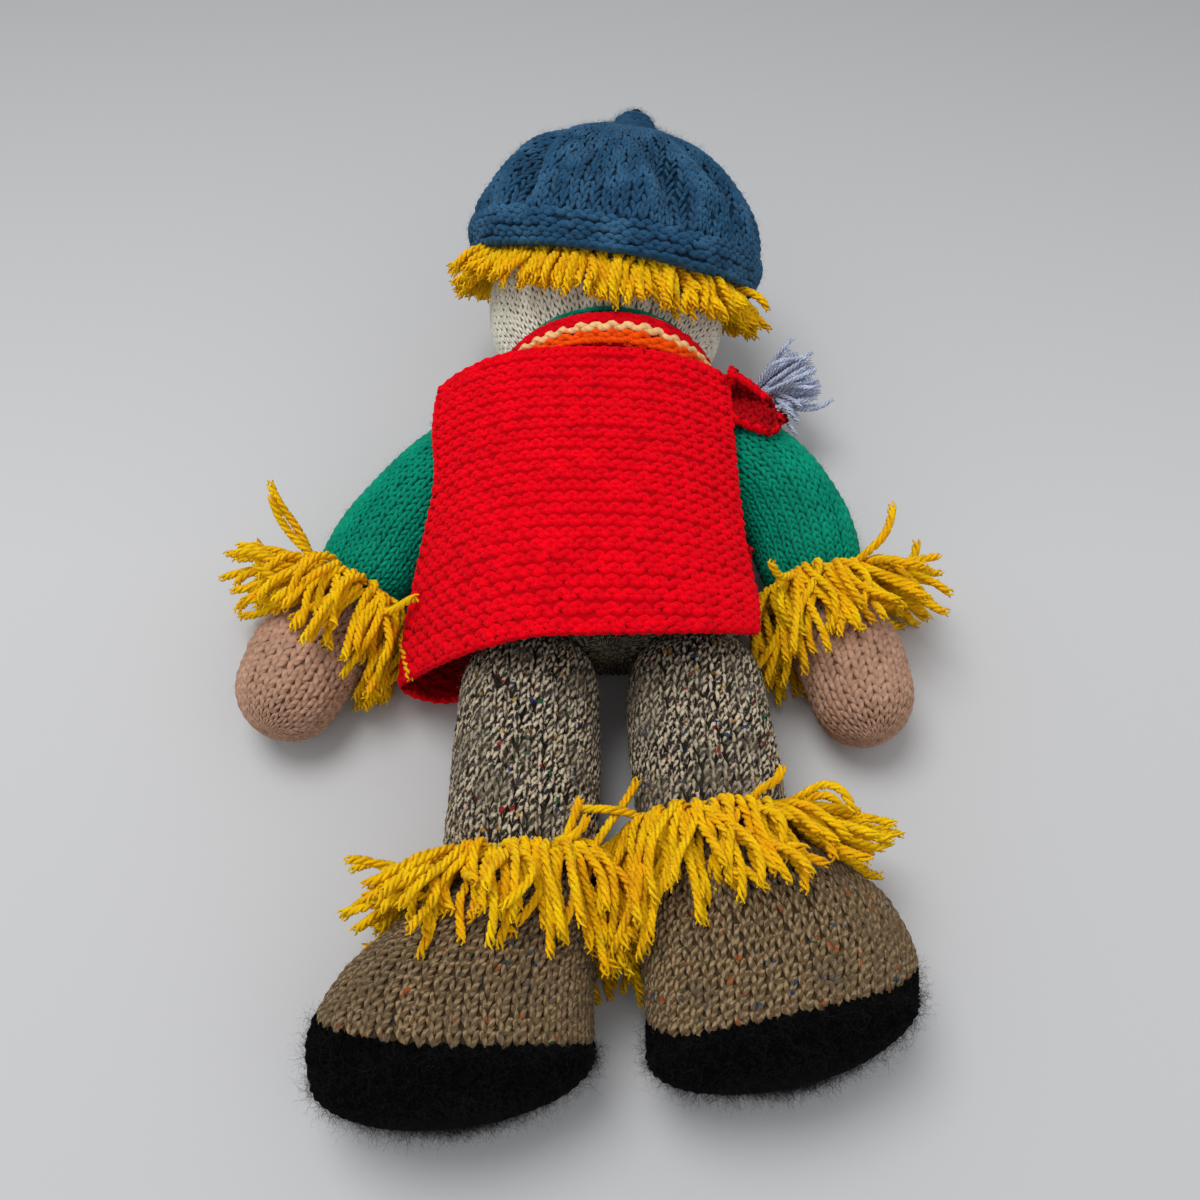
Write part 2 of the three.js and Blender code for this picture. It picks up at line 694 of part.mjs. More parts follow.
// Hat: a gathered cap with a thick rolled edge and a nub
const hatEdgeInside = headRadius + bandThickness + seat;
const hatSide = new THREE.Vector3().crossVectors(hatWay, floorZ).normalize();
const hatUp = new THREE.Vector3().crossVectors(hatSide, hatWay);
function hatRing(height, radius, gather, around = 24) {
  return Array.from({ length: around }, (_, i) => {
    const angle = (i / around) * 2 * Math.PI;
    const reach = radius + gather * Math.cos(hatGathers * angle);
    return headCentre
      .clone()
      .addScaledVector(hatWay, hatOffset + height)
      .addScaledVector(hatSide, reach * Math.cos(angle))
      .addScaledVector(hatUp, reach * Math.sin(angle));
  });
}
function hatGeometry() {
  const domeFrom = 14;
  const domeHeight = hatHeight - domeFrom;
  const outer = [hatRing(0, hatRadius - 3, 0), hatRing(4, hatRadius, 0), hatRing(domeFrom, hatRadius, 0.5)];
  const inner = [hatRing(0, hatEdgeInside, 0), hatRing(9, hatEdgeInside, 0), hatRing(domeFrom, hatRadius - knit, 0.5)];
  for (const share of [0.25, 0.5, 0.7, 0.85]) {
    const angle = share * (Math.PI / 2);
    const height = domeFrom + domeHeight * Math.sin(angle);
    const gather = hatGatherDepth * Math.sin(2 * angle);
    const narrow = Math.cos(angle) * (1 - hatSlack * Math.sin(2 * angle));
    outer.push(hatRing(height, hatRadius * narrow, gather));
    inner.push(hatRing(height - knit * Math.sin(angle), (hatRadius - knit) * narrow, gather));
  }
  outer.push(hatRing(hatHeight, nubRadius, 0), hatRing(hatHeight + nubHeight * 0.7, nubRadius * 0.75, 0));
  const nubTop = headCentre.clone().addScaledVector(hatWay, hatOffset + hatHeight + nubHeight);
  const insideTop = headCentre.clone().addScaledVector(hatWay, hatOffset + hatHeight - knit * 1.5);
  return stitchRings([...outer.reverse(), ...inner], nubTop, insideTop);
}
addPiece("hat", hatGeometry(), materials.blueWool);

// Hair and straw
const hairLevels = [-3, 4];
const hairRing = (level, grow, around = 40) => {
  const offset = hatOffset + level;
  const hugging = Math.sqrt((headRadius + grow) ** 2 - offset ** 2);
  const filling = hatEdgeInside - 2 * facetRoom;
  return hatRing(level, grow > bandThickness ? Math.max(hugging, filling) : hugging, 0, around);
};
// The strands stand out most at the sides of the head.
const hairSpread = (out) => rad(25 + 10 * out.z + 22 * Math.abs(out.x));
addPiece(
  "hair_fringe",
  fringeSkirt({
    ringAt: hairRing,
    levels: hairLevels,
    ahead: hatWay.clone().negate(),
    spread: hairSpread,
    lengthAt: (out) => hairLength * (1 + 0.6 * Math.min(0, out.z)), // shorter over the face
    inside: seat + 2 * facetRoom,
  }),
  materials.yellowYarn,
);
for (const side of ["left", "right"]) {
  const outerSide = side === "left" ? -1 : 1;
  const arm = arms[side];
  addPiece(
    `${side}_wrist_straw`,
    strawFringe({
      ringAt: (s, grow) => arm.ringAt(s, grow, 24),
      levels: [wristS - 0.055, wristS - 0.025, wristS + 0.005, wristS + 0.03],
      ahead: arm.aheadAt(wristS),
      spread: (out) => rad(22 + (out.x * outerSide > 0 ? 48 : -14) * Math.abs(out.x)),
      length: strandLength,
    }),
    materials.yellowYarn,
  );
  const leg = legs[side];
  addPiece(
    `${side}_ankle_straw`,
    strawFringe({
      ringAt: (s, grow) => leg.ringAt(s, grow, 32),
      levels: [ankleS - 0.11, ankleS - 0.08, ankleS - 0.05, ankleS - 0.02],
      ahead: leg.aheadAt(ankleS),
      spread: (out) => rad(out.x * outerSide > 0 ? 13 + 50 * Math.abs(out.x) : 13 - 6 * Math.abs(out.x)),
      length: strandLength,
    }),
    materials.yellowYarn,
  );
}

// Scarf: a band round the neck, and two ends that lie out under the shoulders, each with a tassel
const scarfThickness = 4.5;
const scarfDepth = headRadius - 12;
const tasselLength = 24;
const scarf = makeLimb({
  stations: [
    { at: [0, neckTopY + 6, headCentre.z], wide: headRadius - 10, deep: scarfDepth },
    { at: [0, neckTopY + 1, headCentre.z], wide: headRadius - 7, deep: scarfDepth },
    { at: [0, neckTopY - 6, headCentre.z], wide: headRadius - 8, deep: scarfDepth - 3.5 },
  ],
  upright: true,
});
function scarfWrapGeometry() {
  const marks = stepsAlong(0, 1, 3, 1);
  const outer = marks.map((s) => scarf.ringAt(s, 0, 24));
  const inner = marks.map((s) => scarf.ringAt(s, -scarfThickness, 24)).reverse();
  return stitchRings([...outer, ...inner]);
}
const neckbandRoom = ballSolid(headCentre, headRadius + 2.5 * seat + neckbandThickness, 28);
addPiece("scarf_wrap", cutFree(scarfWrapGeometry(), [neckbandRoom, torsoRoom]), materials.stripedWool);
const scarfEndY = neckTopY - 1;
const scarfEndZ = headCentre.z - scarfDepth - 2 * seat - 3;
const scarfEnds = {
  left: [[-3, scarfEndY, scarfEndZ], [-24, scarfEndY + 2, 10], [-42, scarfEndY + 8, 13], [-56, scarfEndY + 12, 14]],
  right: [[3, scarfEndY, scarfEndZ], [24, scarfEndY + 2, 10], [50, scarfEndY + 9, 20], [72, scarfEndY + 16, 32]],
};
// A tassel starts at a scarf's tip, is tied in, and flares along the way that the scarf's end points.
function tasselLimb(end) {
  const start = end.centreAt(1).addScaledVector(end.aheadAt(1), seat);
  const at = (distance) => start.clone().addScaledVector(end.aheadAt(1), distance).toArray();
  return makeLimb({
    stations: [
      { at: at(0), wide: 4.4, deep: 3.6 },
      { at: at(tasselLength * 0.2), wide: 4.2, deep: 3.8 },
      { at: at(tasselLength), wide: 10, deep: 6 },
    ],
    endRound: 2.5,
  });
}
for (const side of ["left", "right"]) {
  const end = makeLimb({
    stations: scarfEnds[side].map((at, k) => ({ at, wide: [8, 8, 7.5, 3.6][k], deep: [2.8, 2.6, 2.6, 2.8][k] })),
  });
  addPiece(`scarf_${side}_end`, limbCore(end, 0, 1, 0, { lineSteps: 7, around: 12 }), materials.stripedWool);
  addPiece(`scarf_${side}_tassel`, limbCore(tasselLimb(end), 0, 2, 0, { lineSteps: 4, around: 8 }), materials.paleBlueYarn);
}

// Waistcoat: a back and two fronts. A panel's rows run from the hem up, each from one edge to the other. They are
// drawn for one torso, and stretch with it.
const drawnTorso = { halfWidth: 50, shoulderToHip: 72, halfDepth: 40, shoulderY: 22 };
function fitToTorso(point) {
  point.x *= torsoHalfWidth / drawnTorso.halfWidth;
  point.y = shoulderY + ((point.y - drawnTorso.shoulderY) * shoulderToHip) / drawnTorso.shoulderToHip;
  point.z *= torsoHalfDepth / drawnTorso.halfDepth;
  return point;
}
// Each back row goes from its left edge over its crown, the y and z of its middle, to its right edge.
const backRows = [
  { left: [-79, -69, 21], crown: [-79.5, 79], right: [52.5, -69, 60] },
  { left: [-77, -54, 31], crown: [-60, 81.5], right: [53, -56, 60] },
  { left: [-72, -36, 46], crown: [-38, 83.3], right: [50.5, -38, 60.5] },
  { left: [-65.5, -5, 61], crown: [-5, 83.4], right: [48.5, -5, 62.5] },
  { left: [-67.5, 21, 65], crown: [22, 83.4], right: [48, 22, 65] },
  { left: [-66.5, 38, 67], crown: [44.5, 83], right: [47.5, 43, 68] },
];
function backRow({ left, crown, right }, columns) {
  const [crownY, crownZ] = crown;
  return Array.from({ length: columns }, (_, c) => {
    const share = c / (columns - 1);
    const fromMiddle = 2 * share - 1;
    const [, edgeY, edgeZ] = fromMiddle < 0 ? left : right;
    const x = left[0] + (right[0] - left[0]) * share;
    const y = crownY + (edgeY - crownY) * Math.abs(fromMiddle) ** 2.5;
    const z = crownZ + (edgeZ - crownZ) * Math.abs(fromMiddle) ** 3;
    return fitToTorso(new THREE.Vector3(x, y, z));
  });
}
// A front's inner edge lies along the opening. Its outer edge rises to the side seam, the armhole or the shoulder.
const frontRows = {
  left: [
    { inner: [-31, -50, 2.8], outer: [-79, -75, 15], rise: 5 },
    { inner: [-31, -34, 2.8], outer: [-76, -52, 24], rise: 4 },
    { inner: [-31, -18, 2.8], outer: [-66, -27, 34], rise: 3 },
    { inner: [-31, -6, 2.8], outer: [-45, -8, 9], rise: 2 },
    { inner: [-31, 20, 2.8], outer: [-43, 20, 9], rise: 2 },
    { inner: [-32, 38, 12], outer: [-43, 38, 17], rise: 1 },
    { inner: [-33, 44, 28], outer: [-44, 44, 30], rise: 1 },
    { inner: [-33, 46, 48], outer: [-45, 46, 48], rise: 1 },
    { inner: [-33, 44, 72], outer: [-46, 44, 68], rise: 1 },
  ],
  right: [
    { inner: [31, -50, 2.8], outer: [54, -50, 42], rise: 2.5 },
    { inner: [31, -34, 2.8], outer: [54, -34, 42], rise: 2.5 },
    { inner: [31, -18, 2.8], outer: [53.5, -18, 40], rise: 2.5 },
    { inner: [31, -6, 2.8], outer: [45, -8, 9], rise: 2 },
    { inner: [31, 20, 2.8], outer: [43, 20, 9], rise: 2 },
    { inner: [32, 38, 12], outer: [53, 44.5, 14], rise: 1 },
    { inner: [33, 44, 28], outer: [71, 48.5, 27], rise: 1 },
    { inner: [33, 46, 48], outer: [73, 50, 45], rise: 1 },
    { inner: [33, 44, 71], outer: [48, 44.5, 64], rise: 1 },
  ],
};
function frontRow({ inner, outer, rise }, columns) {
  const from = new THREE.Vector3(...inner);
  const to = new THREE.Vector3(...outer);
  return Array.from({ length: columns }, (_, c) => {
    const share = c / (columns - 1);
    const point = from.clone().lerp(to, share);
    point.y = from.y + (to.y - from.y) * share ** 3;
    point.z = from.z + (to.z - from.z) * share ** rise;
    return fitToTorso(point);
  });
}
function panel(rows, count, thickness) {
  const columns = rows[0].map((_, c) => new THREE.CatmullRomCurve3(rows.map((row) => row[c])));
  const middle = Array.from({ length: count }, (_, r) => columns.map((curve) => curve.getPoint(r / (count - 1))));
  return sheetGeometry(middle, thickness);
}
const backColumns = 15;
const backSteps = 11;
const frontColumns = 8;
const frontSteps = 15;
const backMiddle = backRows.map((row) => backRow(row, backColumns));
addPiece("waistcoat_back", cutFree(panel(backMiddle, backSteps, garter), [torsoRoom, ...armRooms]), materials.redWool);
const backRoom = toSolid(panel(backMiddle, backSteps, garter + 2 * seat));
for (const side of ["left", "right"]) {
  const front = frontRows[side].map((row) => frontRow(row, frontColumns));
  addPiece(
    `waistcoat_${side}_front`,
    cutFree(panel(front, frontSteps, garter), [torsoRoom, ...armRooms, backRoom, underFloor]),
    materials.redWool,
  );
}

export default doll;
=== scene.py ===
# %% [markdown]
# # Knitted scarecrow doll
# The doll lies on its front, as it was put down. Its covers could be plain skins with a picture of stitches on them,
# but then every edge would be smooth and every stitch flat. So each cover is made of real yarn stitches, laid cell
# by cell on a smooth surface that has the form of its CAD piece, and hair, straw and tassels are twisted strands.
# Sizes are in millimetres until a mesh is made. +Z is up, +Y points from the feet to the head, and the doll's own
# left is at -X.

import json
import math

import bpy
import numpy as np
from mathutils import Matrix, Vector

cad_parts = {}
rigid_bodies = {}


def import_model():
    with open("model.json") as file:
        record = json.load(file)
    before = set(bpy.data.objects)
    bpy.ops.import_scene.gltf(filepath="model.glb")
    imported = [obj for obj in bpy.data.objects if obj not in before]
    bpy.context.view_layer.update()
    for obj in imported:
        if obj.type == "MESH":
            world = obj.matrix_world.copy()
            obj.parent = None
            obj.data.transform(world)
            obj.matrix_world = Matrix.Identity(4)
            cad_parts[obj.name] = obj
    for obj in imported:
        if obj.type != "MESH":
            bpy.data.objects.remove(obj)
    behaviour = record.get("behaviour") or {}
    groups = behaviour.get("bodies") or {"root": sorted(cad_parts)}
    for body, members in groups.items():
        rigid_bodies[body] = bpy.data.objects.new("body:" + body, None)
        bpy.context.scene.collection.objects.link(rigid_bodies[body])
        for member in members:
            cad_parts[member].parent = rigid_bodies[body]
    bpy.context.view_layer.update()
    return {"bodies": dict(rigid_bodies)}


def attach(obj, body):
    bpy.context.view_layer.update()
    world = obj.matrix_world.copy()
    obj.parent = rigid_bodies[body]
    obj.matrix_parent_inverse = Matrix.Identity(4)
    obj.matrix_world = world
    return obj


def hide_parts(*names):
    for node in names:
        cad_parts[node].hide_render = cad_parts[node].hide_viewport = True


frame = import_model()
MM = 0.001
rng = np.random.default_rng(11)
print("bodies:", ", ".join(sorted(frame["bodies"])))

# %% [markdown]
# ## Curves
# Nothing on a stuffed doll is straight, but a few measured places are enough if a smooth curve joins them. Blender's
# own curves could do that. Here the curve is worked out in numbers, because the same curve later places every single
# stitch. It passes through every place and stays calm where places lie close together.

# %% Smooth curves
UP = np.array([0.0, 0.0, 1.0])


def unit(v):
    """The same direction, with a length of 1."""
    return v / np.maximum(np.linalg.norm(v, axis=-1, keepdims=True), 1e-9)


def spline(points, t):
    """A smooth curve through the points. t runs from 0 at the first one to 1 at the last one."""
    p = np.asarray(points, float)
    last = len(p) - 1
    t = np.clip(np.asarray(t, float), 0, 1) * last
    k = np.minimum(t.astype(int), last - 1)
    w = (t - k)[..., None]
    longer = np.concatenate([2 * p[:1] - p[1:2], p, 2 * p[-1:] - p[-2:-1]])
    p0, p1, p2, p3 = (longer[k + i] for i in range(4))

    def gap(a, b):
        return np.maximum(np.sqrt(np.linalg.norm(b - a, axis=-1, keepdims=True)), 1e-4)

    d0, d1, d2 = gap(p0, p1), gap(p1, p2), gap(p2, p3)
    m1 = ((p1 - p0) / d0 - (p2 - p0) / (d0 + d1) + (p2 - p1) / d1) * d1
    m2 = ((p2 - p1) / d1 - (p3 - p1) / (d1 + d2) + (p3 - p2) / d2) * d1
    return p1 + m1 * w + (-3 * p1 + 3 * p2 - 2 * m1 - m2) * w**2 + (2 * p1 - 2 * p2 + m1 + m2) * w**3


print("a quarter of the way round a corner:", np.round(spline([(0, 0, 0), (10, 0, 0), (10, 10, 0)], 0.25), 2))

# %% [markdown]
# ## Limbs
# An arm or a leg of the doll is a stuffed tube that swells and narrows, with a round start and a round end. It could
# be sculpted, but a list of stations says it in plain numbers: each has a place, a half width, a half depth and a
# turn about Z. The parameter s runs from 0 to 1 along the line, from -1 to 0 over the round start and from 1 to 2
# over the round end. The CAD pieces have the same stations, so a cover can't part from its stuffing.


# %% A limb
class Limb:
    """A stuffed tube along a line of stations. square is 2 for an oval outline and more for a boxier one. upright
    keeps each section upright, turned by its station's own angle, where it would else be square to the line."""

    def __init__(self, stations, start_round=0.0, end_round=0.0, square=2.0, upright=False):
        full = np.array([list(s) + [0.0] * (6 - len(s)) for s in stations], float)
        self.path, self.sizes = full[:, :3], full[:, 3:]
        self.start_round, self.end_round = start_round, end_round
        self.square, self.upright = square, upright

    def frame(self, s):
        """Centre, the way ahead, sideways and up, and the sizes, at each s on the line."""
        t = np.clip(s, 0, 1)
        sizes = spline(self.sizes, t)
        if self.upright:
            turn = np.radians(sizes[..., 2])
            ahead = np.stack([np.sin(turn), -np.cos(turn), 0 * turn], -1)
        else:
            step = 1e-3
            ahead = unit(spline(self.path, t + step) - spline(self.path, t - step))
        side = unit(np.cross(ahead, UP))
        return spline(self.path, t), ahead, side, np.cross(side, ahead), sizes

    def at(self, s, theta, grow=0.0):
        """Points on the surface, at an angle round the limb, grown outwards by so many millimetres."""
        s, theta = np.broadcast_arrays(np.asarray(s, float), np.asarray(theta, float))
        centre, ahead, side, up, sizes = self.frame(s)
        angle = np.where(s < 0, s, np.maximum(0, s - 1)) * (math.pi / 2)
        round_end = np.where(s < 0, self.start_round, self.end_round)

        def squared(v):
            return np.sign(v) * np.abs(v) ** (2 / self.square)

        across = (sizes[..., 0] + grow) * np.cos(angle) * squared(np.cos(theta))
        height = (sizes[..., 1] + grow) * np.cos(angle) * squared(np.sin(theta))
        ahead_by = np.sin(angle) * (round_end + grow)
        return centre + ahead * ahead_by[..., None] + side * across[..., None] + up * height[..., None]

    def measure(self, points, marks, margin):
        """For each point: its nearest mark on the line, how far ahead of that mark it lies, the way out to it, and
        its reach, which is 1 where the point lies margin outside the limb's surface."""
        centre, ahead, side, up, sizes = self.frame(marks)
        nearest = np.argmin(((points[:, None] - centre[None]) ** 2).sum(-1), axis=1)
        away = points - centre[nearest]
        x = (away * side[nearest]).sum(-1)
        z = (away * up[nearest]).sum(-1)
        reach = np.hypot(x / (sizes[nearest, 0] + margin), z / (sizes[nearest, 1] + margin))
        out = side[nearest] * x[:, None] + up[nearest] * z[:, None]
        return nearest, (away * ahead[nearest]).sum(-1), out, reach

    def clear(self, points, margin, s_from, s_to):
        """Pushes points out of the limb, to at least margin from its surface. Those past the two ends stay."""
        past_the_end = 4
        flat = points.reshape(-1, 3)
        _, along, out, reach = self.measure(flat, np.linspace(s_from, s_to, 80), margin)
        push = np.where(reach < 1, 1 / np.maximum(reach, 0.05) - 1, 0)
        push = np.where(np.abs(along) > past_the_end, 0, push)
        return (flat + out * push[:, None]).reshape(points.shape)


straight = Limb([(0, 0, 0, 10, 8), (0, 50, 0, 10, 8)])
print("a straight limb's side and top:", np.round(straight.at(0.5, [0, math.pi / 2]), 1).tolist())


# %% [markdown]
# ## Cloth
# A knitted cover has no wires or folds of its own: it follows the filling, and its stitches are all the same size. So
# the surface to knit on is a grid of points, with u across it (once round a limb) and v along it. The grid is evened
# out first, because a grid straight from the stations would stretch the stitches where the stations lie far apart.
# Slow waves dent it a little, as the filling of a doll is never quite even.

# %% Even grids and slow waves
LUMP_SIZE = 14  # the swells lie three to four times as far apart


def evened(grid, axis):
    """The same surface with its rows (axis 0) or columns (axis 1) at equal distances."""
    grid = np.moveaxis(grid, axis, 0)
    step = np.linalg.norm(np.diff(grid, axis=0), axis=-1).mean(1)
    along = np.concatenate([[0], np.cumsum(step)])
    where = np.interp(np.linspace(0, along[-1], len(grid)), along, np.arange(len(grid)))
    low = np.minimum(where.astype(int), len(grid) - 2)
    share = (where - low)[:, None, None]
    return np.moveaxis(grid[low] * (1 - share) + grid[low + 1] * share, 0, axis)


def soft_noise(points, size, amount):
    """Slow waves that swell and dent a surface, with no two places alike."""
    p = points / size
    waves = np.sin(p[..., 0] * 1.3 + 2.1 * np.sin(p[..., 1])) + np.sin(p[..., 1] * 1.7 + 1.7 * np.sin(p[..., 2]))
    return amount * (waves + np.sin(p[..., 2] * 1.9 + 1.9 * np.sin(p[..., 0]))) / 3


line = np.linspace(0, 400, 4001)[:, None] * [0, 1, 0]
swell = soft_noise(line, LUMP_SIZE, 1.0)
print("swells along the doll's length:", ((swell[1:-1] > swell[:-2]) & (swell[1:-1] > swell[2:])).sum())


# %% The cloth itself
class Cloth:
    """A grid of points with their outward directions. closed says that it goes round, flip turns an open one over,
    and lumps is how far it swells and dents."""

    def __init__(self, grid, closed, flip=False, lumps=0.0):
        self.closed = closed
        self.points = evened(grid, 0)
        if not closed:
            self.points = evened(self.points, 1)
        self.normals = self.find_normals()
        if closed:
            middle = self.points.mean(1, keepdims=True)
            flip = ((self.points - middle) * self.normals).sum() < 0
        if flip:
            self.normals *= -1
        if lumps:
            self.points = self.points + self.normals * soft_noise(self.points, LUMP_SIZE, lumps)[..., None]
        ring = np.roll(self.points, -1, 1) if closed else self.points[:, 1:]
        self.widths = np.linalg.norm(ring - self.points[:, : ring.shape[1]], axis=-1).sum(1)
        self.width = float(self.widths.mean())
        self.length = float(np.linalg.norm(np.diff(self.points, axis=0), axis=-1).sum(0).mean())

    def find_normals(self):
        """The direction that is square to the grid's rows and columns at each point."""
        p = self.points
        across = np.roll(p, -1, 1) - np.roll(p, 1, 1) if self.closed else np.gradient(p, axis=1)
        return unit(np.cross(across, np.gradient(p, axis=0)))

    def at(self, u, v):
        """Points and outward directions at any u and v from 0 to 1."""
        rows, columns = self.points.shape[:2]
        y = v * (rows - 1)
        i = np.clip(np.floor(y).astype(int), 0, rows - 2)
        fy = (y - i)[..., None]
        x = u * (columns if self.closed else columns - 1)
        j = np.floor(x).astype(int)
        if not self.closed:
            j = np.clip(j, 0, columns - 2)
        fx = (x - j)[..., None]
        a, b = j % columns, (j + 1) % columns

        def mix(grid):
            low = grid[i, a] * (1 - fx) + grid[i, b] * fx
            high = grid[i + 1, a] * (1 - fx) + grid[i + 1, b] * fx
            return low * (1 - fy) + high * fy

        return mix(self.points), unit(mix(self.normals))


def limb_cloth(limb, s_from, s_to, grow=0.0, lumps=0.5, rows=120, columns=144):
    """A limb's surface between two seams. A seam that leans is a function of the angle round the limb."""
    theta = np.linspace(0, 2 * math.pi, columns + 1)
    ends = [seam(theta) if callable(seam) else seam + 0 * theta for seam in (s_from, s_to)]
    grid = limb.at(np.linspace(*ends, rows), theta[None], grow)
    return Cloth(evened(grid, 1)[:, :-1], closed=True, lumps=lumps)


trial = limb_cloth(straight, 0.0, 1.0, lumps=0.0)
print(f"cloth on the straight limb: {trial.width:.0f} mm round, {trial.length:.0f} mm long")


# %% [markdown]
# ## Stitches
# Stockinette, on the covers, shows two slanting legs a stitch. Garter stitch, on waistcoat and scarf, shows arcs that
# arch up and down by turns. A real stitch is one long loop, but only the part that shows is needed: a few short
# strands in one cell, each a row of (how far across, how far along, how high above the cloth in yarn radii). Their
# ends dive below the cloth, where the neighbours hide them.

# %% Stitch patterns
STITCH_LEG = np.array([(0.0, -0.75, -1.6), (0.09, -0.42, -0.3), (0.22, 0.03, 0.12), (0.35, 0.47, -0.1),
                       (0.37, 0.87, -1.7)])
STOCKINETTE = [STITCH_LEG, STITCH_LEG * [-1, 1, 1]]
POINT_BACK = [leg * [1, -1, 1] for leg in STOCKINETTE]  # the V points towards the end of the limb


def purl_arcs(half_width=0.56, rise=0.41, shift=0.16):
    """An arc that arches up, and half a stitch further one that arches down."""
    a = np.linspace(-half_width, half_width, 7)
    arch = np.cos(a / half_width * math.pi / 2)
    height = -1.5 + 1.7 * arch**0.6
    return [np.stack([a, -shift + rise * arch, height], -1), np.stack([a + 0.5, shift - rise * arch, height], -1)]


PURL = purl_arcs()
print("strands in a stitch:", len(STOCKINETTE), "legs or", len(PURL), "arcs")

# %% [markdown]
# ## Yarn
# Yarn has a round section, so each strand becomes a thin tube. A curve object with a bevel would give the same tube,
# but there are some forty thousand strands, and one mesh made with arrays is far quicker. Every corner also gets a
# mark that the wool's material reads: how far along the yarn it lies, how far round it, and which strand it is.


# %% Tubes and their marks
def tubes(paths, normals, radii, sides):
    """Yarn round each path: corners (path, step, side), and the faces between them."""
    n, k = paths.shape[:2]
    ahead = unit(np.gradient(paths, axis=1))
    side = unit(np.cross(ahead, normals))
    top = np.cross(side, ahead)
    angle = np.arange(sides) / sides * 2 * math.pi - math.pi / 2
    ring = np.cos(angle)[:, None] * side[:, :, None] + np.sin(angle)[:, None] * top[:, :, None]
    corners = paths[:, :, None] + ring * np.broadcast_to(radii, (n, k))[..., None, None]
    base = (np.arange(n)[:, None, None] * k + np.arange(k - 1)[None, :, None]) * sides
    here = np.arange(sides)[None, None]
    beside = (here + 1) % sides
    quads = np.stack([base + here, base + beside, base + beside + sides, base + here + sides], -1)
    return corners.reshape(-1, 3), quads.reshape(-1, 4)


def yarn_marks(paths, start, ident, sides):
    """How far along the yarn, how far round it, and a number for each strand."""
    step = np.linalg.norm(np.diff(paths, axis=1), axis=-1)
    along = np.concatenate([np.zeros((len(paths), 1)), np.cumsum(step, 1)], 1) + np.reshape(start, (-1, 1))
    n, k = paths.shape[:2]
    shape = (n, k, sides)
    around = np.broadcast_to(np.arange(sides) / sides, shape)
    marks = [np.broadcast_to(along[..., None], shape), around, np.broadcast_to(np.reshape(ident, (-1, 1, 1)), shape)]
    return np.stack(marks, -1).reshape(-1, 3)


def grid_quads(rows, columns, closed):
    """The faces of a grid of points, each as the numbers of its four corners."""
    i, j = np.meshgrid(np.arange(rows - 1), np.arange(columns if closed else columns - 1), indexing="ij")
    after = (j + 1) % columns
    quads = [i * columns + j, i * columns + after, (i + 1) * columns + after, (i + 1) * columns + j]
    return np.stack(quads, -1).reshape(-1, 4)


print("faces of a grid of 5 by 4 points:", len(grid_quads(5, 4, False)), "or, closed,", len(grid_quads(5, 4, True)))


# %% [markdown]
# ## Pieces
# A knitted piece is many strands and a backing, but it is one thing to pick up. So its parts are collected first and
# become a single mesh at the end, which rides on one body of the doll and takes the place of one CAD piece. Besides
# the yarn's marks, the mesh stores how much painted shade each corner gets, mostly by how deep it lies between its
# neighbours.

# %% Pieces of the doll
# The backing's mark also makes the material darken it, as painted shade.
BACKING_MARK = (-1.0, -1.0, -1.0)  # a strand's number below 0 tells the material that this is no yarn
FIBRE_MARK = (-2.0, 0.0, 0.5)


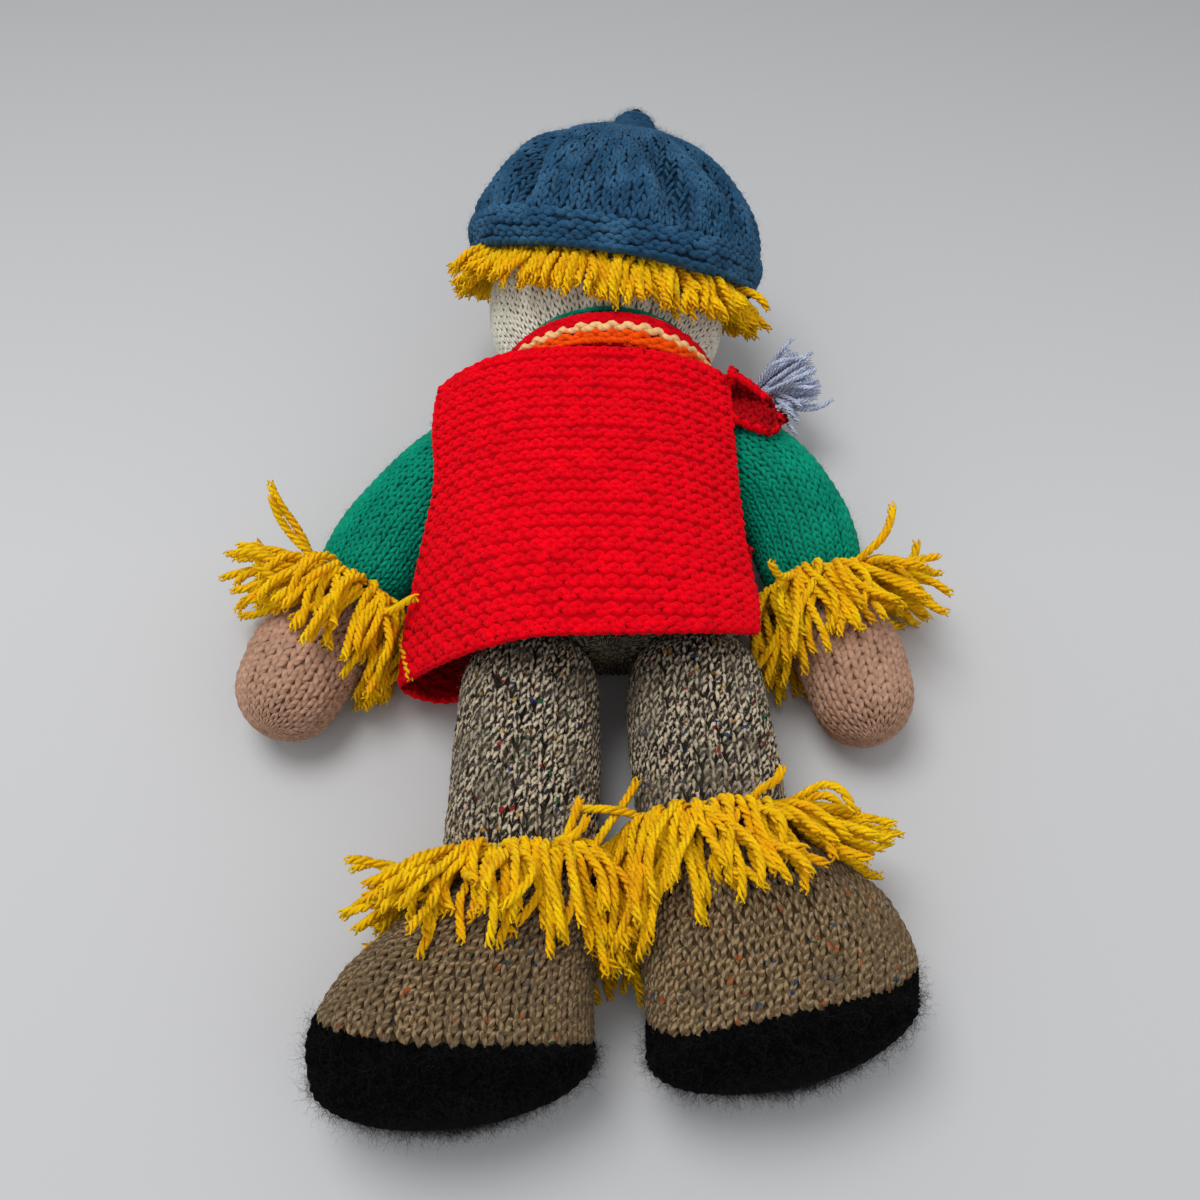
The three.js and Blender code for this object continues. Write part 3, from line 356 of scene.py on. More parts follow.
class Piece:
    """Collects the meshes of one shown piece, then makes the object."""

    def __init__(self, name):
        self.name, self.corners, self.quads, self.marks, self.sunk, self.slots = name, [], [], [], [], []
        self.total = 0

    def add(self, corners, quads, marks, slot=0, sunk=0.0):
        """Adds faces. slot is the number of their yarn; the last value is each corner's painted shade, from 0 to 1."""
        self.corners.append(corners)
        self.quads.append(quads + self.total)
        self.marks.append(np.broadcast_to(marks, corners.shape))
        self.sunk.append(np.broadcast_to(sunk, (len(corners),)))
        self.slots.append(np.full(len(quads), slot))
        self.total += len(corners)

    def add_tubes(self, paths, normals, radii, sides=5, slot=0, start=0.0, ident=None, sunk=0.0):
        """The last value is how deep each step lies between its neighbours, from 0 to 1, for the painted shade."""
        ident = rng.random(len(paths)) if ident is None else ident
        corners, quads = tubes(paths, normals, radii, sides)
        # Painted shade: each tube's underside is darker, and deeper steps are darker still.
        low_side = 0.5 + 0.5 * np.cos(np.arange(sides) / sides * 2 * math.pi)
        depth = np.broadcast_to(sunk, paths.shape[:2])[..., None] * 0.8 + 0.3 * low_side
        self.add(corners, quads, yarn_marks(paths, start, ident, sides), slot, np.clip(depth, 0, 1).ravel())

    def add_grid(self, points, closed):
        """Adds a plain surface, marked as backing, so its material paints it in shade."""
        self.add(points.reshape(-1, 3), grid_quads(*points.shape[:2], closed), BACKING_MARK)

    def make(self, body, replaces, materials, slot_name):
        """Makes the mesh from arrays, which is far quicker than face by face, and hands the object to the frame."""
        corners = (np.concatenate(self.corners) * MM).astype(np.float32)
        quads = np.concatenate(self.quads).astype(np.int32)
        mesh = bpy.data.meshes.new(self.name)
        mesh.vertices.add(len(corners))
        mesh.vertices.foreach_set("co", corners.ravel())
        mesh.loops.add(quads.size)
        mesh.loops.foreach_set("vertex_index", quads.ravel())
        mesh.polygons.add(len(quads))
        mesh.polygons.foreach_set("loop_start", np.arange(0, quads.size, 4, dtype=np.int32))
        mesh.polygons.foreach_set("material_index", np.concatenate(self.slots).astype(np.int32))
        mesh.polygons.foreach_set("use_smooth", np.ones(len(quads), bool))
        mesh.update(calc_edges=True)
        marks = mesh.attributes.new("yarn", "FLOAT_VECTOR", "POINT")
        marks.data.foreach_set("vector", np.concatenate(self.marks).astype(np.float32).ravel())
        # Each corner's painted shade, which the material reads.
        depth = mesh.attributes.new("sunk", "FLOAT", "POINT")
        depth.data.foreach_set("value", np.concatenate(self.sunk).astype(np.float32))
        for material in materials:
            mesh.materials.append(material)
        obj = bpy.data.objects.new(self.name, mesh)
        bpy.context.scene.collection.objects.link(obj)
        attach(obj, body)
        if replaces:
            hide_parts(*([replaces] if isinstance(replaces, str) else replaces))
        print(f"{self.name}: {len(quads)} faces")
        return obj


# %% [markdown]
# ## Knitting
# By hand, a row of stitches never lies quite straight, and no two stitches are alike. An array modifier would repeat
# one stitch exactly, which looks like a machine's work. Here each stitch is laid on its own, a little out of place and
# a little thicker or thinner, and its yarn spreads or narrows with the width that the cloth has there.

# %% Knit stitches onto a cloth
THICKEST = 1.25  # how far yarn may spread in a wide row, as a share of its radius
UNEVEN = 0.07  # how much the yarn's radius differs from stitch to stitch
YARN_PER_STITCH = 2.6  # in stitch widths, so that the twist carries on from stitch to stitch
ROW_SHIFT = 7.3  # how much further along the yarn each row starts, so that no pattern runs up the rows
# At the next depth, in radii, yarn takes its full painted shade.
FULL_SHADE_AT = 1.6  # how deep yarn is fully hidden, in radii
DIVING_END = 0.75  # a strand's ends are thinner than its middle


def knit(piece, cloth, pattern, pitch, row_pitch, radius, slot_of_row=None, sides=5, jitter=0.05, columns=None,
         keep=None, wander=0.0, shade=0.0, thinnest=0.5, deepest=math.inf):
    """Fills a cloth with stitches about pitch wide and row_pitch high, of yarn with the given radius.

    jitter is how far a stitch is out of place and wander how far a row strays, both in stitches. shade is painted
    shade on all of it, as in a hollow. keep picks the stitches that are made, and slot_of_row gives each row its
    colour.
    thinnest is the least share of the radius in a narrow row, and no yarn's middle lies deeper than deepest.
    """
    columns = columns or max(3, round(cloth.width / pitch))
    rows = max(1, round(cloth.length / row_pitch))
    i, j = (g.ravel() for g in np.meshgrid(np.arange(columns), np.arange(rows)))
    if keep is not None:
        kept = keep((i + 0.5) / columns, (j + 0.5) / rows)
        i, j = i[kept], j[kept]
    share = (j + 0.5) / rows
    local = np.interp(share, np.linspace(0, 1, len(cloth.widths)), cloth.widths) / columns / pitch
    thick = radius * np.clip(local, thinnest, THICKEST)
    shift = rng.normal(0, jitter, (len(i), 2))
    shadow = shade((i + 0.5) / columns, share)[:, None] if callable(shade) else shade
    stray = wander * (np.sin(i * 0.31 + j * 0.9) + 0.6 * np.sin(i * 0.77 - j * 1.7) + 0.5 * np.sin(i * 0.13 + j * 0.4))
    chosen = np.zeros(len(i), int) if slot_of_row is None else slot_of_row(share)
    for number, strand in enumerate(pattern):
        a, b, h = strand.T
        u = (i[:, None] + 0.5 + a + shift[:, :1]) / columns
        v = (j[:, None] + 0.5 + b + shift[:, 1:] + stray[:, None]) / rows
        if not cloth.closed:
            u = np.clip(u, 0, 1)
        points, normals = cloth.at(u, v)
        points = points + normals * np.maximum((h - 1.0) * thick[:, None], -deepest)[..., None]
        start = (i * YARN_PER_STITCH + number * YARN_PER_STITCH / 2) * pitch + j * ROW_SHIFT
        start = start + rng.uniform(0, 2.5, len(i))
        ident = ((j * 0.137 + number * 0.5) % 1 + rng.random(len(i)) * 0.2) % 1
        wobble = 1 + rng.normal(0, UNEVEN, (len(i), 1))
        fat = thick[:, None] * wobble * np.array([DIVING_END] + [1.0] * (len(a) - 2) + [DIVING_END])
        # Painted shade: yarn is darker the deeper it dives, plus the shade given.
        low = np.clip(np.clip(-h / FULL_SHADE_AT, 0, 1) + shadow + 0 * u, 0, 1)
        for slot in np.unique(chosen):
            m = chosen == slot
            piece.add_tubes(points[m], normals[m], fat[m], sides, int(slot), start[m], ident[m], low[m])
    print(f"{piece.name}: {columns} stitches by {rows} rows")


# %% [markdown]
# ## Backing and loose fibres
# Between the stitches of a real cover the eye meets more yarn, dark in its own shadow. Two or three layers of stitches
# would show that, at three times the faces. One smooth sheet just under the stitches does the same, and its material
# is painted dark, as shade. Wool also sheds fine fibres: each is a flat ribbon a few hundredths of a millimetre wide,
# whose steps turn at random, because Blender's hair would have to be turned into meshes for the export in any case.


# %% Backing and fibres
def backing(piece, cloth, depth):
    """A sheet under the stitches, at half the cloth's own fineness, in painted shade."""
    grid = cloth.points - cloth.normals * depth
    rows = np.unique(np.append(np.arange(0, len(grid), 2), len(grid) - 1))
    columns = np.arange(0, grid.shape[1], 2)
    if not cloth.closed:
        columns = np.unique(np.append(columns, grid.shape[1] - 1))
    piece.add_grid(grid[rows][:, columns], cloth.closed)


def fuzz(piece, cloth, count, length, width, slot=0, curl=0.6, steps=4):
    """Loose fibres that stand off the cloth and curl, with the floor as their lowest place."""
    floor = 0.3
    u, v = rng.random(count), rng.random(count)
    root, normal = cloth.at(u, v)
    drift = unit(rng.normal(size=(count, 3)))
    way = unit(normal * 0.7 + drift * 0.8)
    size = length * rng.uniform(0.4, 1.0, count)
    path = [root]
    for _ in range(steps):
        way = unit(way + curl * rng.normal(size=(count, 3)))
        path.append(path[-1] + way * (size / steps)[:, None])
    path = np.stack(path, 1)
    path[..., 2] = np.maximum(path[..., 2], floor)
    side = unit(np.cross(np.gradient(path, axis=1), rng.normal(size=(count, 1, 3))))
    half = width / 2 * np.linspace(1, 0.4, steps + 1)[None, :, None]
    corners = np.stack([path - side * half, path + side * half], 2)
    n, k = path.shape[:2]
    base = (np.arange(n)[:, None] * k + np.arange(k - 1)[None]) * 2
    quads = np.stack([base, base + 1, base + 3, base + 2], -1).reshape(-1, 4)
    piece.add(corners.reshape(-1, 3), quads, FIBRE_MARK, slot)


# %% [markdown]
# ## Strands
# Hair, straw and tassels are cut lengths of plied yarn. A bevelled curve would be too smooth: what the eye sees is the
# plies. So a strand is three thin tubes that wind round each other. It leaves its root straight out, bends to its own
# angle, droops and curls a little, opens at its tip, and is kept off the limb and the floor.

# %% Twisted strands
PLIES = 3
STRAND_STEP = 1.5
STRAND_FLOOR = 1.6  # a strand's middle stays this high, so that its plies don't sink into the floor
OPEN_FROM = 0.88  # where the plies start to part, as a share of the length


def strands(piece, roots, outs, ahead, angles, lengths, droop, wave, ply, pitch, rise=0.3, clear=()):
    """Strands from their roots, each at its angle between ahead and outs.

    droop is how much they sink, wave how much they curl, ply the radius of one ply and pitch the length of one turn of
    the twist. rise is the share of the length over which a strand bends from straight out to its own angle, and clear
    holds functions that push its points off what lies below.
    """
    n = len(roots)
    count = max(12, int(lengths.max() / STRAND_STEP))
    t = np.linspace(0, 1, count)[None, :, None]
    way = outs * np.sin(angles)[:, None] + ahead * np.cos(angles)[:, None]
    first = unit(outs - 0.2 * ahead + rng.normal(0, 0.2, (n, 3)))
    bend = np.clip(t / rise, 0, 1)
    bend = bend * bend * (3 - 2 * bend)
    across = unit(np.cross(way, unit(rng.normal(size=(n, 3)))))
    curl = np.sin(t * rng.uniform(2.5, 6, (n, 1, 1)) + rng.uniform(0, 6, (n, 1, 1))) * rng.uniform(0.3, 1.5, (n, 1, 1))
    heading = unit(first[:, None] * (1 - bend) + way[:, None] * bend) + across[:, None] * curl * wave * 0.2
    heading[..., 2] -= droop * rng.uniform(0.4, 1.6, (n, 1)) * 2 * t[..., 0]
    step = unit(heading) * (lengths / (count - 1))[:, None, None]
    path = roots[:, None] + np.concatenate([np.zeros((n, 1, 3)), np.cumsum(step, 1)[:, :-1]], 1)
    for push in clear:
        path = push(path)
    path[..., 2] = np.maximum(path[..., 2], STRAND_FLOOR)
    path[:, 1:-1] = (path[:, :-2] + 2 * path[:, 1:-1] + path[:, 2:]) / 4
    forward = unit(np.gradient(path, axis=1))
    side = unit(np.cross(forward, np.array([0.12, 0.05, 1.0])))
    top = np.cross(side, forward)
    along = t * lengths[:, None, None]
    open_tip = 1 + 0.5 * np.clip((t - OPEN_FROM) / 0.12, 0, 1) * rng.uniform(0.2, 1.6, (n, 1, 1))
    thin = np.interp(np.arange(count), [0, count - 4, count - 1], [1, 1, 0.3])[None]
    # Painted shade on the first stretch of each strand, among the others at the root.
    root_shade = np.clip(1 - t[..., 0] / 0.15, 0, 1) * 0.7
    for p in range(PLIES):
        turn = 2 * math.pi * (p / PLIES + along / pitch) + rng.random() * 0.5
        offset = ply * 0.98 * open_tip * (np.cos(turn) * side + np.sin(turn) * top)
        radii = ply * thin * np.ones((n, 1))
        piece.add_tubes(path + offset, offset, radii, ident=rng.random(n), sunk=root_shade)
    print(f"{piece.name}: {n} more strands")


# %% [markdown]
# ## Shader nodes
# A material is a tree of nodes. Placing and joining them by hand takes many lines for each, so a small bench does it:
# every value that it is given may be a number, a colour or the output of another node.

# %% A bench for shader nodes
def linear(rgb):
    """A colour as a screen shows it, turned into the amounts of light that a shader wants."""
    c = np.array(rgb) / 255
    return tuple(np.where(c <= 0.04045, c / 12.92, ((c + 0.055) / 1.055) ** 2.4)) + (1.0,)


def toned(colour, factor):
    """A lighter or darker tone of a colour."""
    return tuple(min(1.0, c * factor) for c in colour[:3]) + (1.0,)


class Bench:
    """Places nodes in one tree. Each method returns the output to go on with, or the outputs."""

    def __init__(self, tree):
        self.nodes, self.join = tree.nodes, tree.links.new

    def feed(self, socket, value):
        if isinstance(value, bpy.types.NodeSocket):
            self.join(value, socket)
        else:
            socket.default_value = value

    def object_place(self):
        return self.nodes.new("ShaderNodeTexCoord").outputs["Object"]

    def attribute(self, name, output):
        node = self.nodes.new("ShaderNodeAttribute")
        node.attribute_name = name
        return node.outputs[output]

    def axes(self, vector):
        node = self.nodes.new("ShaderNodeSeparateXYZ")
        self.join(vector, node.inputs[0])
        return node.outputs

    def maths(self, operation, *values):
        node = self.nodes.new("ShaderNodeMath")
        node.operation = operation
        for socket, value in zip(node.inputs, values):
            self.feed(socket, value)
        return node.outputs[0]

    def mix(self, kind, a, b, factor):
        node = self.nodes.new("ShaderNodeMix")
        node.data_type, node.blend_type = "RGBA", kind
        for number, value in ((0, factor), (6, a), (7, b)):
            self.feed(node.inputs[number], value)
        return node.outputs[2]

    def ramp(self, source, low, high, low_value=0.0, high_value=1.0):
        node = self.nodes.new("ShaderNodeMapRange")
        wanted = {"Value": source, "From Min": low, "From Max": high, "To Min": low_value, "To Max": high_value}
        for name, value in wanted.items():
            self.feed(node.inputs[name], value)
        return node.outputs[0]

    def noise(self, place, scale, detail):
        """Cloudy spots. scale is about how many lie along a metre, and detail how finely they fray."""
        node = self.nodes.new("ShaderNodeTexNoise")
        node.inputs["Scale"].default_value, node.inputs["Detail"].default_value = scale, detail
        self.join(place, node.inputs["Vector"])
        return node.outputs["Fac"]

    def group(self, tree, **values):
        """Places a shared group. A socket's name is written with _ for a space."""
        node = self.nodes.new("ShaderNodeGroup")
        node.node_tree = tree
        for name, value in values.items():
            self.feed(node.inputs[name.replace("_", " ")], value)
        return node.outputs


def new_group(name, inputs, outputs):
    """An empty group with its sockets: a bench for it, what comes in, and what goes out."""
    tree = bpy.data.node_groups.new(name, "ShaderNodeTree")
    for way, sockets in (("INPUT", inputs), ("OUTPUT", outputs)):
        for label, kind in sockets.items():
            tree.interface.new_socket(label, in_out=way, socket_type=f"NodeSocket{kind}")
    inlet, outlet = tree.nodes.new("NodeGroupInput"), tree.nodes.new("NodeGroupOutput")
    return tree, Bench(tree), inlet.outputs, outlet.inputs


print("red, as light:", np.round(linear((240, 0, 24)), 3))

# %% [markdown]
# ## The twist of the yarn
# Plied yarn shows slanting grooves between its plies, and in tweed one ply is pale. A picture texture would need the
# stitches unwrapped. The marks on the mesh already say where each corner lies on the yarn, so two sine waves that run
# along and round it draw the plies. All wools share this group. It gives the height of the plies and masks for the
# pale ply, and for where shade is painted: on the backing and on what lies deep between the stitches.


# %% Group: yarn twist
def twist_group():
    """Waves along and round the yarn. Two pale periods in each turn make one ply of the tweed look pale."""
    outputs = dict.fromkeys(("Ply", "Pale ply", "Backing", "Sunk"), "Float")
    tree, bench, given, made = new_group("yarn_twist", {"Plies per mm": "Float"}, outputs)
    along, around, ident = bench.axes(bench.attribute("yarn", "Vector"))
    turns = bench.maths("MULTIPLY", along, given["Plies per mm"])
    plies_round = bench.maths("MULTIPLY", around, 3.0)
    wave = bench.maths("SINE", bench.maths("MULTIPLY", bench.maths("ADD", turns, plies_round), math.pi))
    bench.join(bench.maths("ABSOLUTE", wave), made["Ply"])
    two_pale = bench.maths("MULTIPLY", bench.maths("MULTIPLY_ADD", around, 2.0, turns), 2 * math.pi)
    bench.join(bench.maths("MULTIPLY_ADD", bench.maths("SINE", two_pale), 0.5, 0.5), made["Pale ply"])
    bench.join(bench.maths("LESS_THAN", ident, -0.5), made["Backing"])
    # The painted shade that the mesh stores for each corner.
    bench.join(bench.attribute("sunk", "Fac"), made["Sunk"])
    return tree


YARN_TWIST = twist_group()
print("outputs:", ", ".join(socket.name for socket in YARN_TWIST.interface.items_tree if socket.in_out == "OUTPUT"))

# %% [markdown]
# ## Dyes
# Dyed wool is never one flat colour. A hank takes up a little more or less dye from place to place, and some yarns
# have slow patches where the dye thinned out. Tweed is spun from a dark and a pale ply, with small flecks of other
# colours that were carded in. Painting this would fix it to one shape, so noise in the object's own space does it.
# Each effect is a group, and each wool gives it its own colours.


# %% Groups: dyes
def plain_dye_group():
    """A colour that comes out darker and lighter from place to place."""
    tree, bench, given, made = new_group("plain_dye", {"Darker": "Color", "Lighter": "Color"}, {"Colour": "Color"})
    uptake = bench.ramp(bench.noise(bench.object_place(), 160, 4), 0.35, 0.65)
    bench.join(bench.mix("MIX", given["Darker"], given["Lighter"], uptake), made["Colour"])
    return tree


def tweed_group():
    """A pale ply round a dark one, with stretches where one or the other hides."""
    inputs = {"Dark ply": "Color", "Pale ply": "Color", "Mask": "Float", "From": "Float", "To": "Float"}
    tree, bench, given, made = new_group("tweed_plies", inputs, {"Colour": "Color"})
    patch = bench.ramp(bench.noise(bench.object_place(), 620, 2), 0.4, 0.6, -0.35, 0.25)
    share = bench.ramp(bench.maths("ADD", given["Mask"], patch), given["From"], given["To"])
    bench.join(bench.mix("MIX", given["Dark ply"], given["Pale ply"], share), made["Colour"])
    return tree


def fleck_group():
    """Small spots. Each fleck colour shifts the noise, so that no two colours share their places."""
    inputs = {"Colour": "Color", "Fleck": "Color", "Shift": "Vector", "From": "Float", "To": "Float"}
    tree, bench, given, made = new_group("tweed_fleck", inputs, {"Colour": "Color"})
    place = bench.nodes.new("ShaderNodeVectorMath")
    place.operation = "ADD"
    bench.join(bench.object_place(), place.inputs[0])
    bench.join(given["Shift"], place.inputs[1])
    spot = bench.ramp(bench.noise(place.outputs[0], 330, 0), given["From"], given["To"])
    bench.join(bench.mix("MIX", given["Colour"], given["Fleck"], spot), made["Colour"])
    return tree


def patch_group():
    """Slow patches of a second tone."""
    tree, bench, given, made = new_group("dye_patches", {"Colour": "Color", "Patch": "Color"}, {"Colour": "Color"})
    thin_dye = bench.ramp(bench.noise(bench.object_place(), 75, 3), 0.44, 0.64, 0, 0.6)
    bench.join(bench.mix("MIX", given["Colour"], given["Patch"], thin_dye), made["Colour"])
    return tree


PLAIN_DYE, TWEED_PLIES, TWEED_FLECK, DYE_PATCHES = plain_dye_group(), tweed_group(), fleck_group(), patch_group()
print("groups:", ", ".join(group.name for group in bpy.data.node_groups))

# %% [markdown]
# ## Fibres and shade
# Close up, wool is made of single fibres, some lighter and some darker, which also roughen its surface. And yarn turns
# darker where it dives between its neighbours. The renderer finds most of that shadow by itself, and the shade group
# paints more shade there, by the depth stored on the mesh, and in the grooves between the plies.


# %% Groups: grain and shade
def grain_group():
    """Fine lighter and darker fibres, and their height for the bump."""
    inputs = {"Colour": "Color", "Darkest": "Float", "Lightest": "Float"}
    tree, bench, given, made = new_group("fibre_grain", inputs, {"Colour": "Color", "Fibres": "Float"})
    fibres = bench.noise(bench.object_place(), 1900, 3)
    grain = bench.ramp(fibres, 0.3, 0.7, given["Darkest"], given["Lightest"])
    bench.join(bench.mix("MULTIPLY", given["Colour"], grain, 1.0), made["Colour"])
    bench.join(fibres, made["Fibres"])
    return tree


def shade_group():
    """Paints shade into the grooves between plies, onto the yarn deep down, and onto the backing."""
    inputs = {"Colour": "Color", "Ply": "Float", "Sunk": "Float", "Backing": "Float", "In grooves": "Float",
              "Deep down": "Float", "On backing": "Color"}
    tree, bench, given, made = new_group("yarn_shade", inputs, {"Colour": "Color"})
    colour = bench.mix("MULTIPLY", given["Colour"], bench.ramp(given["Ply"], 0.0, 0.6, given["In grooves"], 1.0), 1.0)
    colour = bench.mix("MULTIPLY", colour, bench.ramp(given["Sunk"], 0.2, 1.0, 1.0, given["Deep down"]), 1.0)
    bench.join(bench.mix("MULTIPLY", colour, given["On backing"], given["Backing"]), made["Colour"])
    return tree


FIBRE_GRAIN, YARN_SHADE = grain_group(), shade_group()
print("groups:", len(bpy.data.node_groups))

# %% [markdown]
# ## Wool
# The wool itself is a rough surface that hardly shines. Its fuzz catches light at the rim, which the sheen gives, in a
# paler tone of the yarn. A bump from plies and fibres breaks the light up more finely than the mesh can.


# %% The wool material
def wool(name, colour, second=None, flecks=(), patches=None, variety=0.12, turns=0.45, marl=(0.3, 0.75), grain=0.12,
         bump_and_groove_shade=0.35, deep=0.7, dark=0.35, sheen=0.2):
    """Wool in one colour, or tweed when second gives the other ply's colour.

    flecks are (colour, share) pairs and patches the colour of thin places in the dye. variety is how much the dye
    differs, turns how often the plies turn in a millimetre, marl how sharply they part, and grain how much single
    fibres differ. The bump's strength also sets the painted shade in the grooves between plies. dark is how far the
    backing is darkened as painted shade, and deep the share by which yarn deep between its neighbours is darkened as
    painted shade.
    """
    material = bpy.data.materials.new(name)
    material.use_nodes = True
    bench = Bench(material.node_tree)
    tone = linear(colour)
    twist = bench.group(YARN_TWIST, Plies_per_mm=turns)
    if second is None:
        dyed = bench.group(PLAIN_DYE, Darker=toned(tone, 1 - variety), Lighter=toned(tone, 1 + variety))["Colour"]
    else:
        dyed = bench.group(TWEED_PLIES, Dark_ply=tone, Pale_ply=linear(second), Mask=twist["Pale ply"], From=marl[0],
                           To=marl[1])["Colour"]
    for k, (fleck, share) in enumerate(flecks):
        dyed = bench.group(TWEED_FLECK, Colour=dyed, Fleck=linear(fleck), Shift=(0.37 * (k + 1), 0.11 * k, 0.23 * k),
                           From=0.8 - share, To=0.83 - share)["Colour"]
    if patches:
        dyed = bench.group(DYE_PATCHES, Colour=dyed, Patch=linear(patches))["Colour"]
    grained = bench.group(FIBRE_GRAIN, Colour=dyed, Darkest=1 - grain, Lightest=1 + grain * 0.6)
    # Painted shade in the ply grooves, on yarn deep down and on the backing.
    shaded = bench.group(YARN_SHADE, Colour=grained["Colour"], Ply=twist["Ply"], Sunk=twist["Sunk"],
                         Backing=twist["Backing"], In_grooves=1 - 0.35 * bump_and_groove_shade, Deep_down=1 - deep,
                         On_backing=(dark, dark, dark, 1.0))
    relief = bench.nodes.new("ShaderNodeBump")
    relief.inputs["Strength"].default_value = bump_and_groove_shade
    relief.inputs["Distance"].default_value = 0.0004
    bench.join(bench.maths("MULTIPLY_ADD", grained["Fibres"], 0.5, twist["Ply"]), relief.inputs["Height"])
    shader = material.node_tree.nodes["Principled BSDF"]
    bench.join(shaded["Colour"], shader.inputs["Base Color"])
    bench.join(relief.outputs["Normal"], shader.inputs["Normal"])
    shader.inputs["Roughness"].default_value = 0.9
    shader.inputs["Specular IOR Level"].default_value = 0.05
    shader.inputs["Sheen Weight"].default_value = sheen
    shader.inputs["Sheen Roughness"].default_value = 0.55
    shader.inputs["Sheen Tint"].default_value = tuple(min(1.0, 0.35 + 0.65 * c) for c in tone[:3]) + (1,)
    return material


# %% [markdown]
# ## The doll's yarns
# Green for the sweater, grey tweed for the trousers, brown tweed for the boots, black mohair for the soles, and so
# on. The red of the waistcoat is the strongest: its backing gets a lighter painted shade than the other yarns',
# because so bright a dye lights up its own hollows.

# %% The doll's yarns
green = wool("green_wool", (6, 150, 120), patches=(2, 128, 102), variety=0.1, deep=0.95, sheen=0.1)
tweed = wool("tweed_wool", (48, 43, 40), second=(208, 192, 164), patches=(104, 95, 80), turns=0.25, marl=(0.2, 0.85),
             flecks=(((150, 40, 45), 0.02), ((30, 90, 60), 0.012), ((50, 60, 110), 0.015), ((170, 130, 60), 0.012)),
             grain=0.4, deep=0.85, sheen=0.05)
brown = wool("brown_wool", (106, 84, 58), second=(162, 138, 104), patches=(104, 88, 66), turns=0.4, grain=0.25,
             flecks=(((156, 84, 44), 0.035), ((58, 74, 92), 0.03), ((58, 76, 56), 0.025)), bump_and_groove_shade=0.8, deep=1.0,
             sheen=0.08)
black = wool("black_mohair", (4, 4, 4), sheen=0.0)
loose = wool("loose_mohair", (32, 31, 31), sheen=0.0)
cream = wool("cream_wool", (250, 245, 226), deep=0.8, dark=0.3, sheen=0.1)
pink = wool("pink_wool", (188, 148, 124), patches=(172, 132, 108), bump_and_groove_shade=0.6, deep=0.95, sheen=0.1)
yellow = wool("yellow_yarn", (255, 200, 10), patches=(248, 172, 6), turns=0.2, deep=0.4, sheen=0.1)
blue = wool("blue_wool", (38, 80, 112), patches=(66, 112, 146), variety=0.16, grain=0.4, deep=1.0, sheen=0.15)
red = wool("red_wool", (240, 0, 24), variety=0.1, grain=0.2, bump_and_groove_shade=0.5, deep=0.75, dark=0.55, sheen=0.04)
scarlet = wool("scarf_red", (226, 2, 24), grain=0.2, bump_and_groove_shade=0.5, sheen=0.04)
peach = wool("scarf_peach", (252, 200, 136), bump_and_groove_shade=0.5, deep=0.8, sheen=0.08)
orange = wool("scarf_orange", (252, 84, 10), bump_and_groove_shade=0.5, deep=0.75, sheen=0.04)
periwinkle = wool("pale_blue_yarn", (206, 216, 240), deep=0.35)
teal = wool("tassel_knot", (8, 70, 76), sheen=0.1)
thread = wool("face_thread", (38, 32, 30), sheen=0.05)
lips = wool("mouth_thread", (170, 32, 40), sheen=0.05)
filling = wool("stuffing", (244, 243, 240), bump_and_groove_shade=0.1, sheen=0.1)
print("materials:", len(bpy.data.materials))

# %% [markdown]
# ## The doll's main sizes
# These are the stations of the CAD pieces, in the same frame. The seams are places on them: where the sleeve ends and
# the hand starts, where trouser leg and boot meet, and where the black sole starts, which leans with the foot.

# %% Torso and arms
HEAD, HEAD_RADIUS = np.array([0.0, 96.95, 50.5]), 51.0
ARM_ROUND, LEG_ROUND = 21.5, 26
WRIST, ANKLE, SOLE, WAIST = 4 / 7, 3 / 7, 0.873, 6 / 7
torso = Limb(
    [(0, 55, 49, 31, 31), (0, 49, 48, 31, 31), (0, 42, 44, 36, 35), (0, 34, 41, 46, 38.5), (0, 22, 40, 50, 40),
     (0, 0, 40, 50, 40.5), (0, -24, 40, 51, 40.5), (1, -50, 40, 52, 38)],
    end_round=16, square=2.3, upright=True)
arms = {
    "left": Limb([(-58, 20, 38, 21.5, 21.5), (-71, 10, 34, 21.5, 21.5), (-86, -6, 29, 21.5, 21),
                  (-96, -23, 26, 20.5, 20), (-102, -34, 25, 17, 17), (-107, -44, 23.5, 19.5, 18.5),
                  (-117, -60, 22, 22, 22.5), (-121, -71, 22, 21, 21)], ARM_ROUND, 21),
    "right": Limb([(57, 22, 38, 21.5, 21.5), (68, 13, 34, 21.5, 21.5), (78, -4, 29, 21.5, 21),
                   (82, -20, 26, 20.5, 20), (84, -32, 25, 17, 17), (87, -43, 23.5, 18.75, 18.5),
                   (94, -60, 22, 20.5, 22.5), (97, -75, 22, 19.5, 21)], ARM_ROUND, 19.5),
}
arm_length = float(np.linalg.norm(np.diff(arms["left"].path, axis=0), axis=1).sum())
print("arm from shoulder to hand:", round(arm_length), "mm")


# %% Legs and head
def make_leg(hip, ankle, toward, turn):
    """A leg and its boot. toward is 1 where the toes lean to +X and -1 to -X, and turn is the foot's own turn."""
    (x, y), lean = ankle, (1 if toward < 0 else -0.6)
    stations = [
        (*hip, 26, 26), ((hip[0] + x) / 2, (hip[1] + y) / 2 + 5, 31, 27, 26), (x, y + 12, 31, 27, 25.5),
        (x, y, 31, 24.5, 24, turn / 2), (x + toward * 6, y - 12, 31, 34, 28, turn),
        (x + toward * 15, y - 27, 30, 43, 30.5, turn), (x + toward * 20, y - 46, 30, 46, 30.5, turn),
        (x + toward * 20 + lean, y - 60, 30, 45, 30, turn),
    ]
    return Limb(stations, LEG_ROUND, 17, square=2.2, upright=True)


